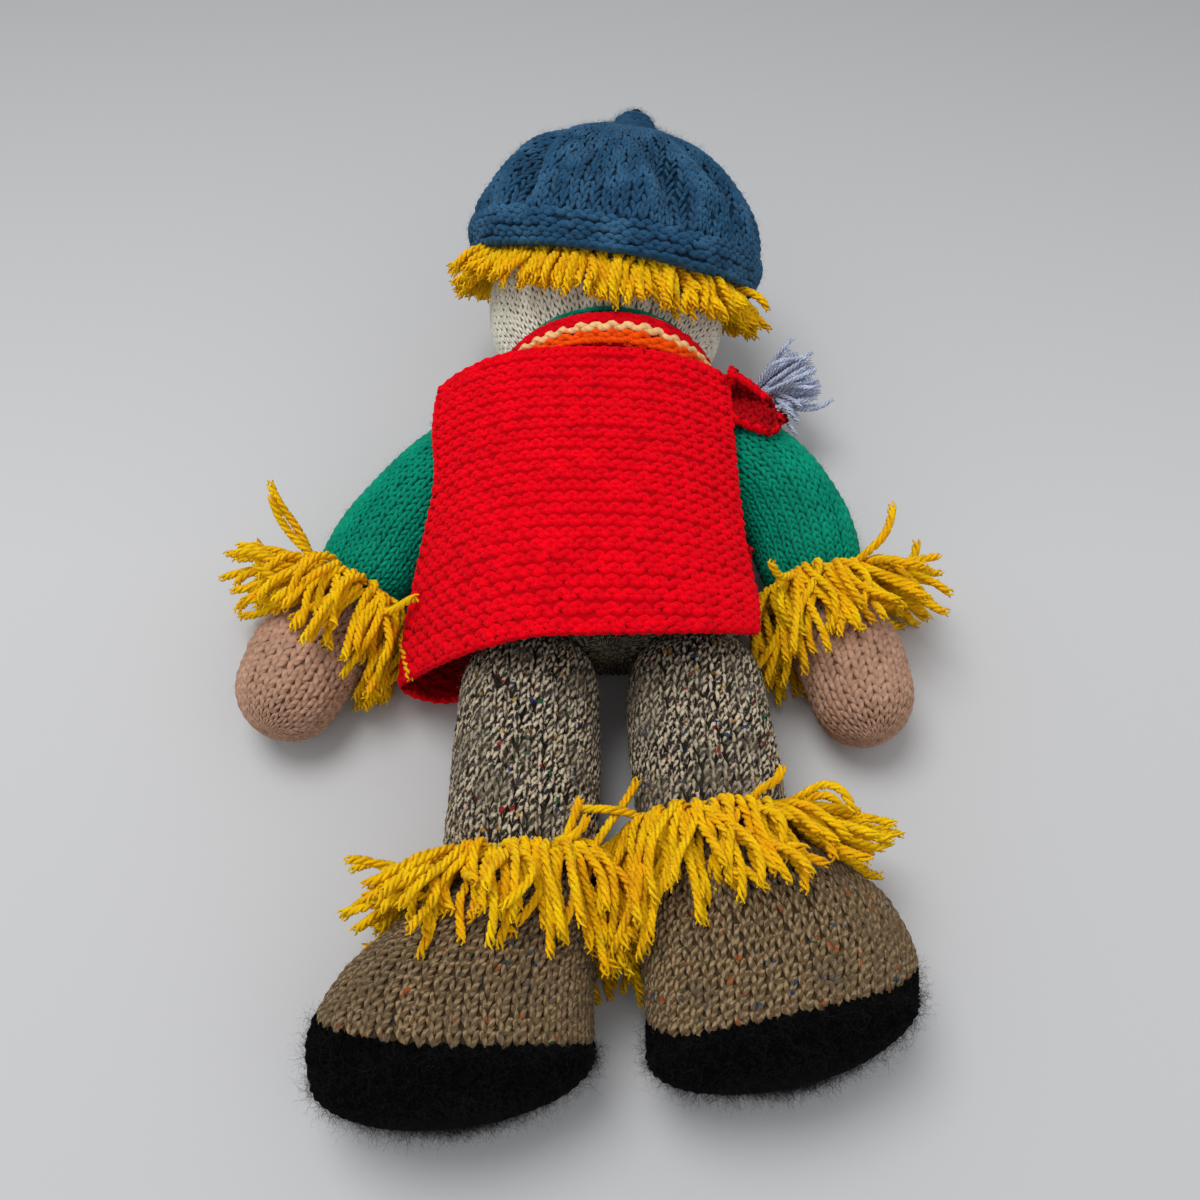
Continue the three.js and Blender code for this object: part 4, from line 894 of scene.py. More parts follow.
legs = {"left": make_leg((-29, -80, 31), (-30, -150), -1, 7), "right": make_leg((32.5, -80, 31), (36, -138), 1, 12)}
SOLE_SEAMS = {  # where the sole starts, at each angle round the foot
    "left": lambda a: SOLE - 0.098 * np.cos(a) + 0.11 * np.sin(a),
    "right": lambda a: SOLE + 0.17 * np.sin(a),
}
head = Limb([(*HEAD, HEAD_RADIUS, HEAD_RADIUS), (0, 97.45, 50.5, HEAD_RADIUS, HEAD_RADIUS)], HEAD_RADIUS, HEAD_RADIUS)
print("boot lengths:", [round(float(leg.path[3, 1] - leg.path[-1, 1] + leg.end_round)) for leg in legs.values()], "mm")

# %% [markdown]
# ## The way that the head and the hat point
# The head lies a little rolled to one side and tipped back, and the hat sits a bit further back on it. Both are turns
# of the way up the doll's body, so face and hat are placed by these few numbers and not by eye.

# %% Directions of head and hat
ABOUT_X, ABOUT_Z = (1, 2), (0, 1)
ROLL, HEAD_TIP, HAT_TIP = 8.5, 30, 8


def turned(v, degrees, axes):
    """v turned in the plane of two axes, from the first one towards the second."""
    c, s = math.cos(math.radians(degrees)), math.sin(math.radians(degrees))
    result = np.array(v, float)
    a, b = result[..., axes[0]].copy(), result[..., axes[1]].copy()
    result[..., axes[0]], result[..., axes[1]] = c * a - s * b, s * a + c * b
    return result


HAT_WAY = turned(turned([0, 1, 0], -ROLL, ABOUT_Z), HEAD_TIP + HAT_TIP, ABOUT_X)
HAT_SIDE = unit(np.cross(HAT_WAY, UP))
HAT_UP = np.cross(HAT_SIDE, HAT_WAY)
HAT_EDGE = HEAD + HAT_WAY * 15
print("hat points", np.round(HAT_WAY, 3))

# %% [markdown]
# ## Rooms for the sewn-on limbs
# Arms, legs and head are sewn onto the torso, and their round tops sink into it. The torso's own stitches would
# stick out inside them, and a boolean would have to cut thousands of tubes. It is simpler not to knit there at all: a
# room is a space that a limb takes up, and no stitch and no backing is made inside one.


# %% Rooms
def ball_room(centre, radius):
    """The room of a limb's round top."""
    return lambda points: np.linalg.norm(points - centre, axis=-1) < radius


def limb_room(limb, margin, s_to):
    """The room of a limb from its first station to s_to, without its ends."""
    marks = np.linspace(0, s_to, 40)

    def inside(points):
        nearest, _, _, reach = limb.measure(points.reshape(-1, 3), marks, margin)
        return ((reach < 1) & (nearest > 0) & (nearest < len(marks) - 1)).reshape(points.shape[:-1])

    return inside


ROOMS = [ball_room(HEAD, HEAD_RADIUS + 0.4)]
ROOMS += [ball_room(arm.path[0], ARM_ROUND + 0.6) for arm in arms.values()]
ROOMS += [ball_room(leg.path[0], LEG_ROUND + 0.6) for leg in legs.values()]
ROOMS += [limb_room(arm, 0.6, 0.4) for arm in arms.values()]


def in_a_room(points):
    """True for each point that lies in any of the rooms."""
    inside = np.zeros(points.shape[:-1], bool)
    for room in ROOMS:
        inside |= room(points)
    return inside


def backing_round_rooms(piece, cloth, depth):
    """A backing without the faces that lie in a room."""
    grid = (cloth.points - cloth.normals * depth)[::2, ::2]
    quads, flat = grid_quads(*grid.shape[:2], True), grid.reshape(-1, 3)
    piece.add(flat, quads[~in_a_room(flat[quads].mean(1))], BACKING_MARK)


print("rooms:", len(ROOMS))

# %% [markdown]
# ## Covers
# Each cover is made in the same order as by hand: it is knitted, it gets its dark inside, and last it is brushed until
# a few fibres stand off. One recipe makes them all, and only the yarn, the stitches and the cloth change.


# %% A recipe for covers
def cover(name, body, node, cloth, yarns, slot_name, stitches, depth, fibres=None, round_rooms=False, **knitting):
    """stitches are a pattern, a stitch's width, a row's height and the yarn's radius. fibres are for fuzz."""
    piece = Piece(name)
    if round_rooms:
        knitting["keep"] = lambda u, v: ~in_a_room(cloth.at(u, v)[0])
    knit(piece, cloth, *stitches, **knitting)
    (backing_round_rooms if round_rooms else backing)(piece, cloth, depth)
    if fibres:
        fuzz(piece, cloth, **fibres)
    return piece.make(body, node, yarns, slot_name)


# %% [markdown]
# ## Sweater and trouser seat
# The torso is one stuffed bag in two colours, which meet at the waist. One cloth could carry both, but they are two
# covers on the real doll too, and so each has its own piece. The seat's stitches lie in the shadow of the waistcoat's
# hem, and they get painted shade as well.

# %% Sweater and trouser seat
cover("knit_sweater", "torso", "sweater_body", limb_cloth(torso, 0.0, WAIST), [green], "green_wool",
      (STOCKINETTE, 3.8, 3.4, 0.95), 1.7, round_rooms=True, sides=4)
# Painted shade on the whole seat.
cover("knit_trouser_seat", "torso", "trouser_seat", limb_cloth(torso, WAIST + 0.005, 1.97), [tweed], "tweed_wool",
      (STOCKINETTE, 4.2, 4.0, 0.94), 1.7, round_rooms=True, sides=4, shade=0.8)

# %% [markdown]
# ## Sleeves and hands
# The sleeve is the arm's own skin, and the hand is knitted on in pink, gathered shut at its tip. Its stitches point
# back to the wrist. The top of the sleeve is nearly shut, as it shows when the arm swings away. A rounded end stops
# just short of its tip, at s = 2, because stitches that shrink to nothing would only pile up there.

# %% Sleeves and hands
LIMB_TOP = -0.95

for side, arm in arms.items():
    body = f"{side}_arm"
    cover(f"knit_{side}_sleeve", body, f"{side}_sleeve", limb_cloth(arm, LIMB_TOP, WRIST + 0.01), [green],
          "green_wool", (STOCKINETTE, 3.9, 3.5, 0.85), 1.6, dict(count=4500, length=4.5, width=0.05), sides=4)
    cover(f"knit_{side}_hand", body, f"{side}_hand", limb_cloth(arm, WRIST + 0.012, 1.96), [pink], "pink_wool",
          (POINT_BACK, 5.1, 4.0, 1.14), 1.7, dict(count=700, length=3.5, width=0.05), sides=6)

# %% [markdown]
# ## Trouser legs and boots
# The tweed's two plies, one dark and one pale, give the legs their speckled look. The boots are knitted on in brown
# tweed, a little tighter and lumpier. Their soles are black mohair, a yarn so hairy that its stitches hardly show:
# its long, curly fibres do more for the look than the stitches under them.

# %% Trouser legs and boots
for side, leg in legs.items():
    body, seam = f"{side}_leg", SOLE_SEAMS[side]
    cover(f"knit_{side}_trouser_leg", body, f"{side}_trouser_leg", limb_cloth(leg, LIMB_TOP, ANKLE), [tweed],
          "tweed_wool", (STOCKINETTE, 4.0, 3.8, 0.9), 1.6, dict(count=2500, length=4.0, width=0.05), jitter=0.14,
          wander=0.08)
    cover(f"knit_{side}_boot_upper", body, f"{side}_boot_upper", limb_cloth(leg, ANKLE + 0.004, seam, lumps=0.8),
          [brown], "brown_wool", (POINT_BACK, 4.4, 3.5, 0.98), 1.7, dict(count=1500, length=4.0, width=0.05))
    cover(f"knit_{side}_boot_sole", body, f"{side}_boot_sole",
          limb_cloth(leg, lambda a: seam(a) + 0.003, 1.96, lumps=0.8), [black, loose], "black_mohair",
          (POINT_BACK, 4.2, 3.2, 1.2), 1.7,
          dict(count=9000, length=9.5, width=0.08, slot=1, curl=0.9, steps=5), sides=4)

# %% [markdown]
# ## Head and face
# The head is a cream ball with finer stitches. Its face lies on the floor, out of sight, so it is kept plain, as such
# dolls have it: eyes and nose in satin stitch, which is parallel threads over a low dome, and a mouth in back stitch.
# Both are laid on the head's ball from two angles, across and up, and so turn with the head.

# %% Head
cover("knit_head", "head", "head_cover", limb_cloth(head, -0.75, 1.97, lumps=0.3), [cream], "cream_wool",
      (STOCKINETTE, 4.2, 3.6, 0.85), 1.6, sides=4, columns=74)


# %% Eyes, nose and mouth
def face_way(across, up):
    """The direction from the head's middle to a place on the face, from two angles in degrees."""
    a, b = np.radians(across), np.radians(up)
    way = np.stack([np.sin(a) * np.cos(b), np.sin(b) + 0 * a, -np.cos(a) * np.cos(b)], -1)
    return turned(turned(way, -ROLL, ABOUT_Z), HEAD_TIP, ABOUT_X)


def satin_dome(name, across, up, radius, height, yarn_used, slot_name):
    """Parallel threads over a low dome."""
    out = face_way(across, up)
    sideways = unit(np.cross(out, [0.3, 1, 0.2]))
    upright = np.cross(sideways, out)
    yarn = 0.62
    offsets = np.arange(-radius + yarn, radius, yarn * 1.7)
    t = np.linspace(-1, 1, 9)
    half = np.sqrt(np.maximum(radius**2 - offsets**2, 0.5))
    x, y = np.broadcast_to(offsets[:, None], (len(offsets), 9)), half[:, None] * t[None]
    rise = height * np.sqrt(np.maximum(1 - (x**2 + y**2) / (radius + 0.1) ** 2, 0))
    reach = np.sqrt((HEAD_RADIUS + 0.35) ** 2 - x**2 - y**2) + rise - yarn * 0.5
    path = HEAD + out * reach[..., None] + sideways * x[..., None] + upright * y[..., None]
    piece = Piece(name)
    piece.add_tubes(path, np.broadcast_to(out, path.shape), yarn, sides=6)
    piece.make("head", name.replace("stitched_", ""), [yarn_used], slot_name)


satin_dome("stitched_left_eye", -19, 9, 4.2, 1.6, thread, "face_thread")
satin_dome("stitched_right_eye", 19, 9, 4.2, 1.6, thread, "face_thread")
satin_dome("stitched_nose", 0, 0, 5.0, 3.0, lips, "mouth_thread")

mouth = Piece("stitched_mouth")
t = np.linspace(-1, 1, 7)
for a, b in zip(t[:-1], t[1:]):
    s = np.linspace(a, b + 0.06, 7)
    arch = 0.35 + 0.5 * np.sin(np.linspace(0, math.pi, 7))
    way = face_way(16 * s, -13 + 4 * s * s)
    mouth.add_tubes((HEAD + way * (HEAD_RADIUS + arch)[:, None])[None], way[None], 0.5, sides=6)
mouth.make("head", "mouth", [lips], "mouth_thread")

# %% [markdown]
# ## Hat
# The hat is a cap that is drawn together into a nub. Drawing it together makes folds, which start at the nub and fade
# towards the edge. A cloth simulation could find them, but never the same ones as on the real hat, so each fold is a
# dent at its own angle, with a soft swelling on both sides. A thick band of garter stitch, rolled up a little, is the
# edge.

# %% The hat's surface
CREASES = np.radians([8, 41, 74, 104, 136, 170, 210, 252, 290, 330])
CREASE_DEPTH = np.array([6.0, 5.5, 9.5, 4.0, 9.5, 7.0, 6.5, 6.0, 7.0, 6.5])
CREASE_WIDTH, SWELL, SWELL_AT, SWELL_WIDTH = 5.2, 0.35, 10, 5


def round_hat(heights, radii, columns=288, creased=0.0):
    """A cloth that goes round the hat's axis, creased where it is drawn together."""
    angle = np.arange(columns) / columns * 2 * math.pi
    heights, radii = np.asarray(heights, float)[:, None], np.asarray(radii, float)[:, None]
    share = np.clip((heights - 12) / 50, 0, 1)
    strength = np.sin(np.clip(share * 1.1, 0, 1) ** 0.8 * math.pi * 0.86) * creased * np.clip((radii - 9) / 14, 0, 1)
    bend = angle[None] + 0.2 * np.sin(share * 3 + 1)
    away = (bend[..., None] - CREASES + math.pi) % (2 * math.pi) - math.pi
    near = away * radii[..., None]
    swelling = SWELL * np.exp(-((np.abs(near) - SWELL_AT) / SWELL_WIDTH) ** 2)
    dent = (CREASE_DEPTH * (np.exp(-(near / CREASE_WIDTH) ** 2) - swelling)).sum(-1)
    reach = radii - dent * strength
    return HAT_EDGE + HAT_WAY * heights[..., None] + HAT_SIDE * (reach * np.cos(angle))[..., None] \
        + HAT_UP * (reach * np.sin(angle))[..., None]


print("creases:", len(CREASES), "up to", CREASE_DEPTH.max(), "mm deep")

# %% [markdown]
# ## Crown and nub
# The crown's outline is a dome that sweeps into the nub, and the nub's end is a coil of yarn, as when the last
# stitches are pulled tight and sewn round.

# %% Hat crown and nub
NUB_RADIUS, NUB_HEIGHT = 9.2, 63.0
CROWN_RADIUS, CROWN_FOOT, CROWN_RISE = 62, 14, 48
dome = np.radians(np.linspace(0, 74, 100))
dome_radius = CROWN_RADIUS * np.cos(dome) * (1 - 0.06 * np.sin(2 * dome))
dome_height = CROWN_FOOT + CROWN_RISE * np.sin(dome)
climb = np.linspace(0, 1, 16)[1:]
sweep_radius = dome_radius[-1] + (NUB_RADIUS - dome_radius[-1]) * climb
sweep_height = dome_height[-1] + (NUB_HEIGHT - dome_height[-1]) * climb**1.5
cap = np.linspace(0, 1, 12)[1:]
radii = np.concatenate([dome_radius, sweep_radius, NUB_RADIUS * (1 - cap)])
heights = np.concatenate([dome_height, sweep_height, NUB_HEIGHT + 6 * np.sqrt(1 - (1 - cap) ** 2)])
cloth = Cloth(evened(round_hat(heights, radii, creased=1.0), 0), closed=True, lumps=0.6)
crown = Piece("knit_hat_crown")
knit(crown, cloth, STOCKINETTE, 4.0, 3.4, 0.88, sides=4, columns=94, jitter=0.1, thinnest=0.75)
backing(crown, cloth, 1.7)

t = np.linspace(0, 1, 60)
turn, out = t[:, None] * 5 * math.pi, (5.6 - 4.9 * t)[:, None]
coil = HAT_EDGE + HAT_WAY * (NUB_HEIGHT + 4.6 + 1.7 * t)[:, None]
coil = coil + (HAT_SIDE * np.cos(turn) + HAT_UP * np.sin(turn)) * out
crown.add_tubes(coil[None], np.broadcast_to(HAT_WAY, (1, 60, 3)), 1.05, sides=6)
# A sheet 3 mm inside the crown's dome, marked as backing, so that the hat's inside gets painted shade.
shaded_inner_sheet = cloth.points[:100] - cloth.normals[:100] * 3.0
crown.add_grid(shaded_inner_sheet[::2, ::2], True)
crown.make("hat", "hat", [blue], "blue_wool")

# %% Hat fibres and edge
brushed = Piece("hat_fuzz")
fuzz(brushed, cloth, 10000, 4.2, width=0.06)
brushed.make("hat", None, [blue], "blue_wool")

roll = np.radians(np.linspace(-80, 90, 24))
edge_heights = np.concatenate([[8, 5, 2.5], 2.4 - 2.4 * np.cos(roll), np.linspace(3.5, 15, 20)])
edge_radii = np.concatenate([[54.9, 54.9, 55], 58.8 + 3.8 * np.sin(roll),
                             62.6 + 1.3 * np.sin(np.linspace(0, math.pi, 20))])
cover("knit_hat_edge", "hat", None, Cloth(round_hat(edge_heights, edge_radii), closed=True, lumps=1.0), [blue],
      "blue_wool", (PURL, 4.4, 4.3, 1.35), 2.0, dict(count=3000, length=4.0, width=0.05), columns=86, jitter=0.12,
      wander=0.12)

# %% [markdown]
# ## Hair
# The hair is a fringe of yarn, knotted to the head in rows under the hat's edge. The upper row lies flat at once, so
# that it doesn't lift the hat, and the lower rows first stand off. Hair at the sides fans out further, and what lies
# under the head is short.


# %% Hair
def off_a_ball(centre, radius):
    """Keeps the points of a strand out of a ball."""
    def push(path):
        away = path - centre
        far = np.linalg.norm(away, axis=-1, keepdims=True)
        return np.where(far < radius, centre + away / np.maximum(far, 1e-6) * radius, path)

    return push


HAIR_ROWS = [  # height above the hat's edge, radius, number of strands, their length as a share, rise
    (1.0, 52.6, 100, 1.0, 0.05), (-2.5, 51.6, 120, 0.95, 0.3), (-5.0, 51.0, 90, 0.8, 0.3)]
hair = Piece("yarn_hair")
for level, radius, count, longer, rise in HAIR_ROWS:
    angle = (np.arange(count) + rng.uniform(-0.3, 0.3, count)) / count * 2 * math.pi
    outs = HAT_SIDE * np.cos(angle)[:, None] + HAT_UP * np.sin(angle)[:, None]
    roots = HAT_EDGE + HAT_WAY * level + outs * radius
    spread = np.radians(22 + 8 * outs[:, 2] + 26 * np.abs(outs[:, 0])) * rng.uniform(0.7, 1.25, count)
    size = 21 * longer * (1 + 0.6 * np.minimum(0, outs[:, 2])) * rng.uniform(0.75, 1.2, count)
    strands(hair, roots, outs, -HAT_WAY, spread, size, droop=0.12, wave=2.2, ply=0.98, pitch=9.5, rise=rise,
            clear=[off_a_ball(HEAD, HEAD_RADIUS + 2.2)])
hair.make("head", "hair_fringe", [yellow], "yellow_yarn")

# %% [markdown]
# ## Straw
# The scarecrow's straw is the same yarn, knotted in two rows round the wrists and ankles. A particle system could
# scatter it, but its strands would pass through the limb. Here most lie along the limb, those on the doll's outer side
# fan out, and a few strays turn back as they do on the real doll.


# %% Straw
STRAYS = {  # angle round the limb, turn back from the way the fringe hangs, length
    "left_wrist": [(45, 118, 38), (52, 108, 34), (20, 95, 30), (140, 80, 26)],
    "right_wrist": [(120, 120, 34), (150, 112, 30), (60, 100, 24), (165, 90, 32)],
    "left_ankle": [(114, 118, 15), (120, 134, 17), (140, 142, 32), (166, 132, 22)],
    "right_ankle": [(116, 116, 20), (30, 95, 30), (20, 84, 34)],
}
ANKLE_STRAW = {"left": ANKLE - 0.01, "right": ANKLE - 0.035}
STRAW_ROWS = (-0.014, 0.02)  # of the limb's line, up and down from the place where the straw is knotted


def straw(place, body, limb, s_at, outer, count, spread, length, ply):
    """Two rows of strands and the strays. outer is the doll's outer side, as the sign of X, and spread gives the angle
    for how far out to that side a strand lies."""
    piece, strays = Piece(f"yarn_{place}_straw"), np.array(STRAYS[place], float)
    for row in STRAW_ROWS:
        theta = (np.arange(count) + rng.uniform(-0.35, 0.35, count)) / count * 2 * math.pi
        angles = np.zeros(count)
        size = length * rng.uniform(0.75, 1.15, count)
        if row < 0:
            theta = np.append(theta, np.radians(strays[:, 0]))
            angles = np.append(angles, np.radians(strays[:, 1]))
            size = np.append(size, strays[:, 2])
        s = s_at + row + rng.normal(0, 0.004, len(theta))
        centre, ahead, _, _, _ = limb.frame(s)
        roots = limb.at(s, theta, 1.5)
        outs = unit(roots - centre)
        outward = outs[:, 0] * outer
        spreads = np.radians(spread(outward)) * rng.uniform(0.55, 1.35, len(roots))
        size = size * (1 + 0.22 * np.maximum(0, -outward))
        angles = np.where(angles > 0, angles, spreads)
        high = roots[:, 2] > 5  # none is squashed between limb and floor
        strands(piece, (roots - ahead * 1.5)[high], outs[high], ahead[high], angles[high], size[high], droop=0.22,
                wave=3.2, ply=ply, pitch=9.5, rise=0.22, clear=[lambda path: limb.clear(path, 2.2, 0.2, 0.95)])
    piece.make(body, f"{place}_straw", [yellow], "yellow_yarn")


for side, outer in (("left", -1), ("right", 1)):
    straw(f"{side}_wrist", f"{side}_arm", arms[side], WRIST + 0.003, outer, 56,
          lambda x: 20 + np.where(x > 0, 50, -12) * np.abs(x), 35, 0.9)
    straw(f"{side}_ankle", f"{side}_leg", legs[side], ANKLE_STRAW[side], outer, 94,
          lambda x: 16 + np.where(x > 0, 52, -4) * np.abs(x), 37, 0.84)

# %% [markdown]
# ## Neckband and scarf
# The sweater ends in a thin green collar that follows the ball of the head. Over it the scarf goes round the neck:
# garter stitch in lengthwise stripes, red inside and on top, then peach, then orange. It could be modelled as a long
# strip and wrapped, but only its outline counts, so it is a ring whose section goes up on the inside, over the top,
# down the outside and in under its own hem. The stripes are rows of that one cloth.

# %% Neckband
AROUND = np.linspace(0, 2 * math.pi, 145)[:-1]
COLLAR_FOOT, COLLAR_BALL = 55.4, 53.95
out_y = COLLAR_FOOT + 5.3 * np.linspace(0, 1, 24)
out_r = np.sqrt(COLLAR_BALL**2 - (HEAD[1] - out_y) ** 2)
over_y = out_y[-1] + 0.6 * np.sin(np.linspace(0, math.pi, 10))
over_r = out_r[-1] - np.linspace(0, 2.4, 10)
ring_y, ring_r = np.concatenate([out_y, over_y[1:]]), np.concatenate([out_r, over_r[1:]])
grid = HEAD * [1, 0, 1] + np.stack([np.outer(ring_r, np.cos(AROUND)), np.outer(ring_y, np.ones(len(AROUND))),
                                    np.outer(ring_r, np.sin(AROUND))], -1)
cover("knit_neckband", "torso", "sweater_neckband", Cloth(grid, closed=True), [green], "green_wool",
      (STOCKINETTE, 3.4, 2.9, 0.95), 1.4)

# %% Scarf round the neck
scarf_in = Limb([(0, 57.9, 50.5, 42.3, 41), (0, 54.5, 50.5, 44, 39), (0, 48.5, 50.5, 43, 35.5)], upright=True)
scarf_out = Limb([(0, 57.6, 50.5, 43.4, 41.4), (0, 53.2, 50.5, 44.8, 40.4), (0, 47.5, 50.5, 43, 35.8)], upright=True)
inner_side = scarf_in.at(np.linspace(1, 0, 24)[:, None], AROUND[None], -4.5)
outer_side = scarf_out.at(np.linspace(0, 1, 24)[:, None], AROUND[None], 0.3)
fold = np.linspace(0.1, 0.9, 9)[:, None, None]
over = inner_side[-1:] * (1 - fold) + outer_side[:1] * fold + np.array([0, 1.0, 0]) * np.sin(fold * math.pi)
hem = outer_side[-1:].mean(1, keepdims=True)
under = hem + (outer_side[-1:] - hem) * (1 - np.linspace(0.015, 0.12, 8)[:, None, None])
grid = np.concatenate([inner_side, over, outer_side, under])
grid[..., 1] -= 1.7 * np.clip((grid[..., 2] - 66) / 14, 0, 1)
cloth = Cloth(grid, closed=True, lumps=0.5)


def stripes(v):
    """The yarn of each row, from the inside over the top and down the outside."""
    return np.select([v < 0.64, v < 0.73], [0, 1], 2)


cover("knit_scarf_wrap", "torso", "scarf_wrap", cloth, [scarlet, peach, orange], "striped_wool",
      (PURL, 5.7, cloth.length / 10.8, 1.25), 2.0, slot_of_row=stripes, sides=6, jitter=0.08, wander=0.05)

# %% [markdown]
# ## Scarf ends and tassels
# Each end is a flat strip that leaves the wrap under the shoulder and carries a tassel: yarns pushed through its last
# stitches, tied round with a thin thread. Most of the yarns fan out ahead, a few hang down, and on the right end, the
# one that shows, some are knotted in further back and lie along the strip.

# %% Scarf ends
SCARF_LOW = 50.5 - 39 - 0.7 - 3
END_PATHS = {"left": [(-3, 54, SCARF_LOW), (-24, 56, 10), (-42, 62, 13), (-56, 66, 14)],
             "right": [(3, 54, SCARF_LOW), (24, 56, 10), (50, 63, 20), (72, 70, 32)]}
END_SIZES = ((8, 2.8), (8, 2.6), (7.5, 2.6), (3.6, 2.8))
KNOT_WIDTH, KNOT_DEPTH, KNOT_TURNS = 4.6, 3.9, 3


def tassel_yarns(tassel, roots, outs, ahead, angles, lengths, droop, rise=0.3):
    """Strands of the tassels' thin, tightly twisted yarn."""
    strands(tassel, roots, outs, np.broadcast_to(ahead, roots.shape), np.radians(angles), lengths, droop=droop,
            wave=2.0, ply=0.66, pitch=7, rise=rise)


for side, places in END_PATHS.items():
    end = Limb([(*at, *size) for at, size in zip(places, END_SIZES)])
    cover(f"knit_scarf_{side}_end", "torso", f"scarf_{side}_end",
          limb_cloth(end, 0.0, 1.0, grow=0.3, lumps=0.2, columns=72), [scarlet], "striped_wool",
          (PURL, 3.7, 3.6, 1.0), 1.3)

    tip, ahead = spline(end.path, 1.0), end.frame(np.array(1.0))[1]
    side_way = unit(np.cross(ahead, UP))
    up_way = np.cross(side_way, ahead)
    tassel = Piece(f"yarn_scarf_{side}_tassel")
    fan = 30
    angle = rng.uniform(0, 2 * math.pi, fan)
    outs = side_way * np.cos(angle)[:, None] + up_way * np.sin(angle)[:, None] * 0.6
    roots = tip + ahead * 0.6 + outs * rng.uniform(0.6, 2.8, fan)[:, None]
    tassel_yarns(tassel, roots, unit(outs), ahead, rng.uniform(4, 26, fan), rng.uniform(20, 27, fan), droop=0.25)
    if side == "right":
        along = 12
        angle = rng.uniform(-0.4, 2.4, along)
        outs = side_way * np.cos(angle)[:, None] + up_way * np.sin(angle)[:, None]
        roots = tip - ahead * rng.uniform(7, 11, along)[:, None] + outs * 3.9
        tassel_yarns(tassel, roots, outs, ahead, rng.uniform(0, 12, along), rng.uniform(28, 35, along), droop=0.12,
                     rise=0.05)
    hang = 7
    roots = tip + ahead * 1.5 + rng.normal(0, 1.2, (hang, 3))
    down = np.broadcast_to([0, -1.0, 0], (hang, 3))
    tassel_yarns(tassel, roots, down, ahead, rng.uniform(48, 76, hang), rng.uniform(17, 25, hang), droop=0.3)

    t = np.linspace(0, 1, 60)
    wind = t * 2 * math.pi * KNOT_TURNS
    around = side_way * np.cos(wind)[:, None] * KNOT_WIDTH + up_way * np.sin(wind)[:, None] * KNOT_DEPTH
    knot = tip + ahead * (3.2 + 2.8 * t)[:, None] + around
    tassel.add_tubes(knot[None], (knot - tip - ahead * 4)[None], 0.85, sides=6, slot=1)
    tassel.make("torso", f"scarf_{side}_tassel", [periwinkle, teal], "pale_blue_yarn")

# %% [markdown]
# ## The shape of the waistcoat
# The waistcoat is three panels of garter stitch, one over the back and one on each front. It lies on the doll's back
# and falls towards the floor at its edges. A cloth simulation would drape it anew on every run, so each panel is a
# list instead: a few lines across it from the hem up, each with its ends, its height and how late it falls.

# %% Waistcoat back
BACK = [  # left edge, middle (y, z), right edge; from the hem up
    ((-79, -69, 21), (-79.5, 79), (52.5, -69, 60)), ((-77, -54, 31), (-60, 81.5), (53, -56, 60)),
    ((-72, -36, 46), (-38, 83.3), (50.5, -38, 60.5)), ((-65.5, -5, 61), (-5, 83.4), (48.5, -5, 62.5)),
    ((-67.5, 21, 65), (22, 83.4), (48, 22, 65)), ((-66.5, 38, 67), (44.5, 83), (47.5, 43, 68)),
]
LEFT_FALL = (2.0, 2.3, 2.7, 3.0, 3.0, 3.0)  # how late each line falls to its left edge
RIGHT_FALL = 3.0


def through_lines(lines, rows):
    """A grid of points that runs smoothly from line to line."""
    lines = np.array(lines)
    return np.stack([spline(lines[:, c], np.linspace(0, 1, rows)) for c in range(lines.shape[1])], 1)


def back_grid(rows=90, columns=110):
    """Each line is highest in its middle and falls to both edges, late and steeply."""
    share = np.linspace(0, 1, columns)
    off = np.abs(2 * share - 1)
    lines = []
    for (left, (crown_y, crown_z), right), left_fall in zip(BACK, LEFT_FALL):
        edge = np.where(share[:, None] < 0.5, left, right)
        fall = np.where(share < 0.5, left_fall, RIGHT_FALL)
        lines.append(np.stack([left[0] + (right[0] - left[0]) * share, crown_y + (edge[:, 1] - crown_y) * off**2.5,
                               crown_z + (edge[:, 2] - crown_z) * off**fall], -1))
    return through_lines(lines, rows)


print("back panel:", len(BACK), "lines")

# %% Waistcoat fronts
FRONTS = {  # inner edge, outer edge, how late it rises, and how far it sags; from the hem up and over the shoulder
    "left": [((-31, -50, 2.8), (-79, -70.5, 18), 5), ((-31, -34, 2.8), (-76, -52, 24), 4),
             ((-31, -18, 2.8), (-66, -27, 34), 3), ((-31, -6, 2.8), (-45, -8, 9), 2),
             ((-31, 20, 2.8), (-43, 20, 9), 2), ((-32, 38, 12), (-43, 38, 17), 1),
             ((-33, 44, 28), (-44, 44, 30), 1), ((-33, 46, 48), (-45, 46, 48), 1), ((-33, 44, 72), (-46, 44, 68), 1)],
    "right": [((31, -50, 2.8), (54, -50, 42), 2.5), ((31, -34, 2.8), (54, -34, 42), 2.5),
              ((31, -18, 2.8), (53.5, -18, 40), 2.5), ((31, -6, 2.8), (45, -8, 9), 2),
              ((31, 20, 2.8), (43, 20, 9), 2), ((32, 38, 12), (53, 44.5, 14), 1),
              ((33, 44, 28), (68.5, 48.5, 27), 1), ((34, 46, 40), (69, 48.5, 37), 1),
              ((47, 46.5, 49), (67.8, 41, 47), 1), ((66, 38.5, 56.5), (65.8, 21.5, 60.5), 1),
              ((57, 40, 68), (58, 22, 63), 1, 5), ((47.5, 40, 75.5), (48.5, 25, 66), 1, 9)],
}


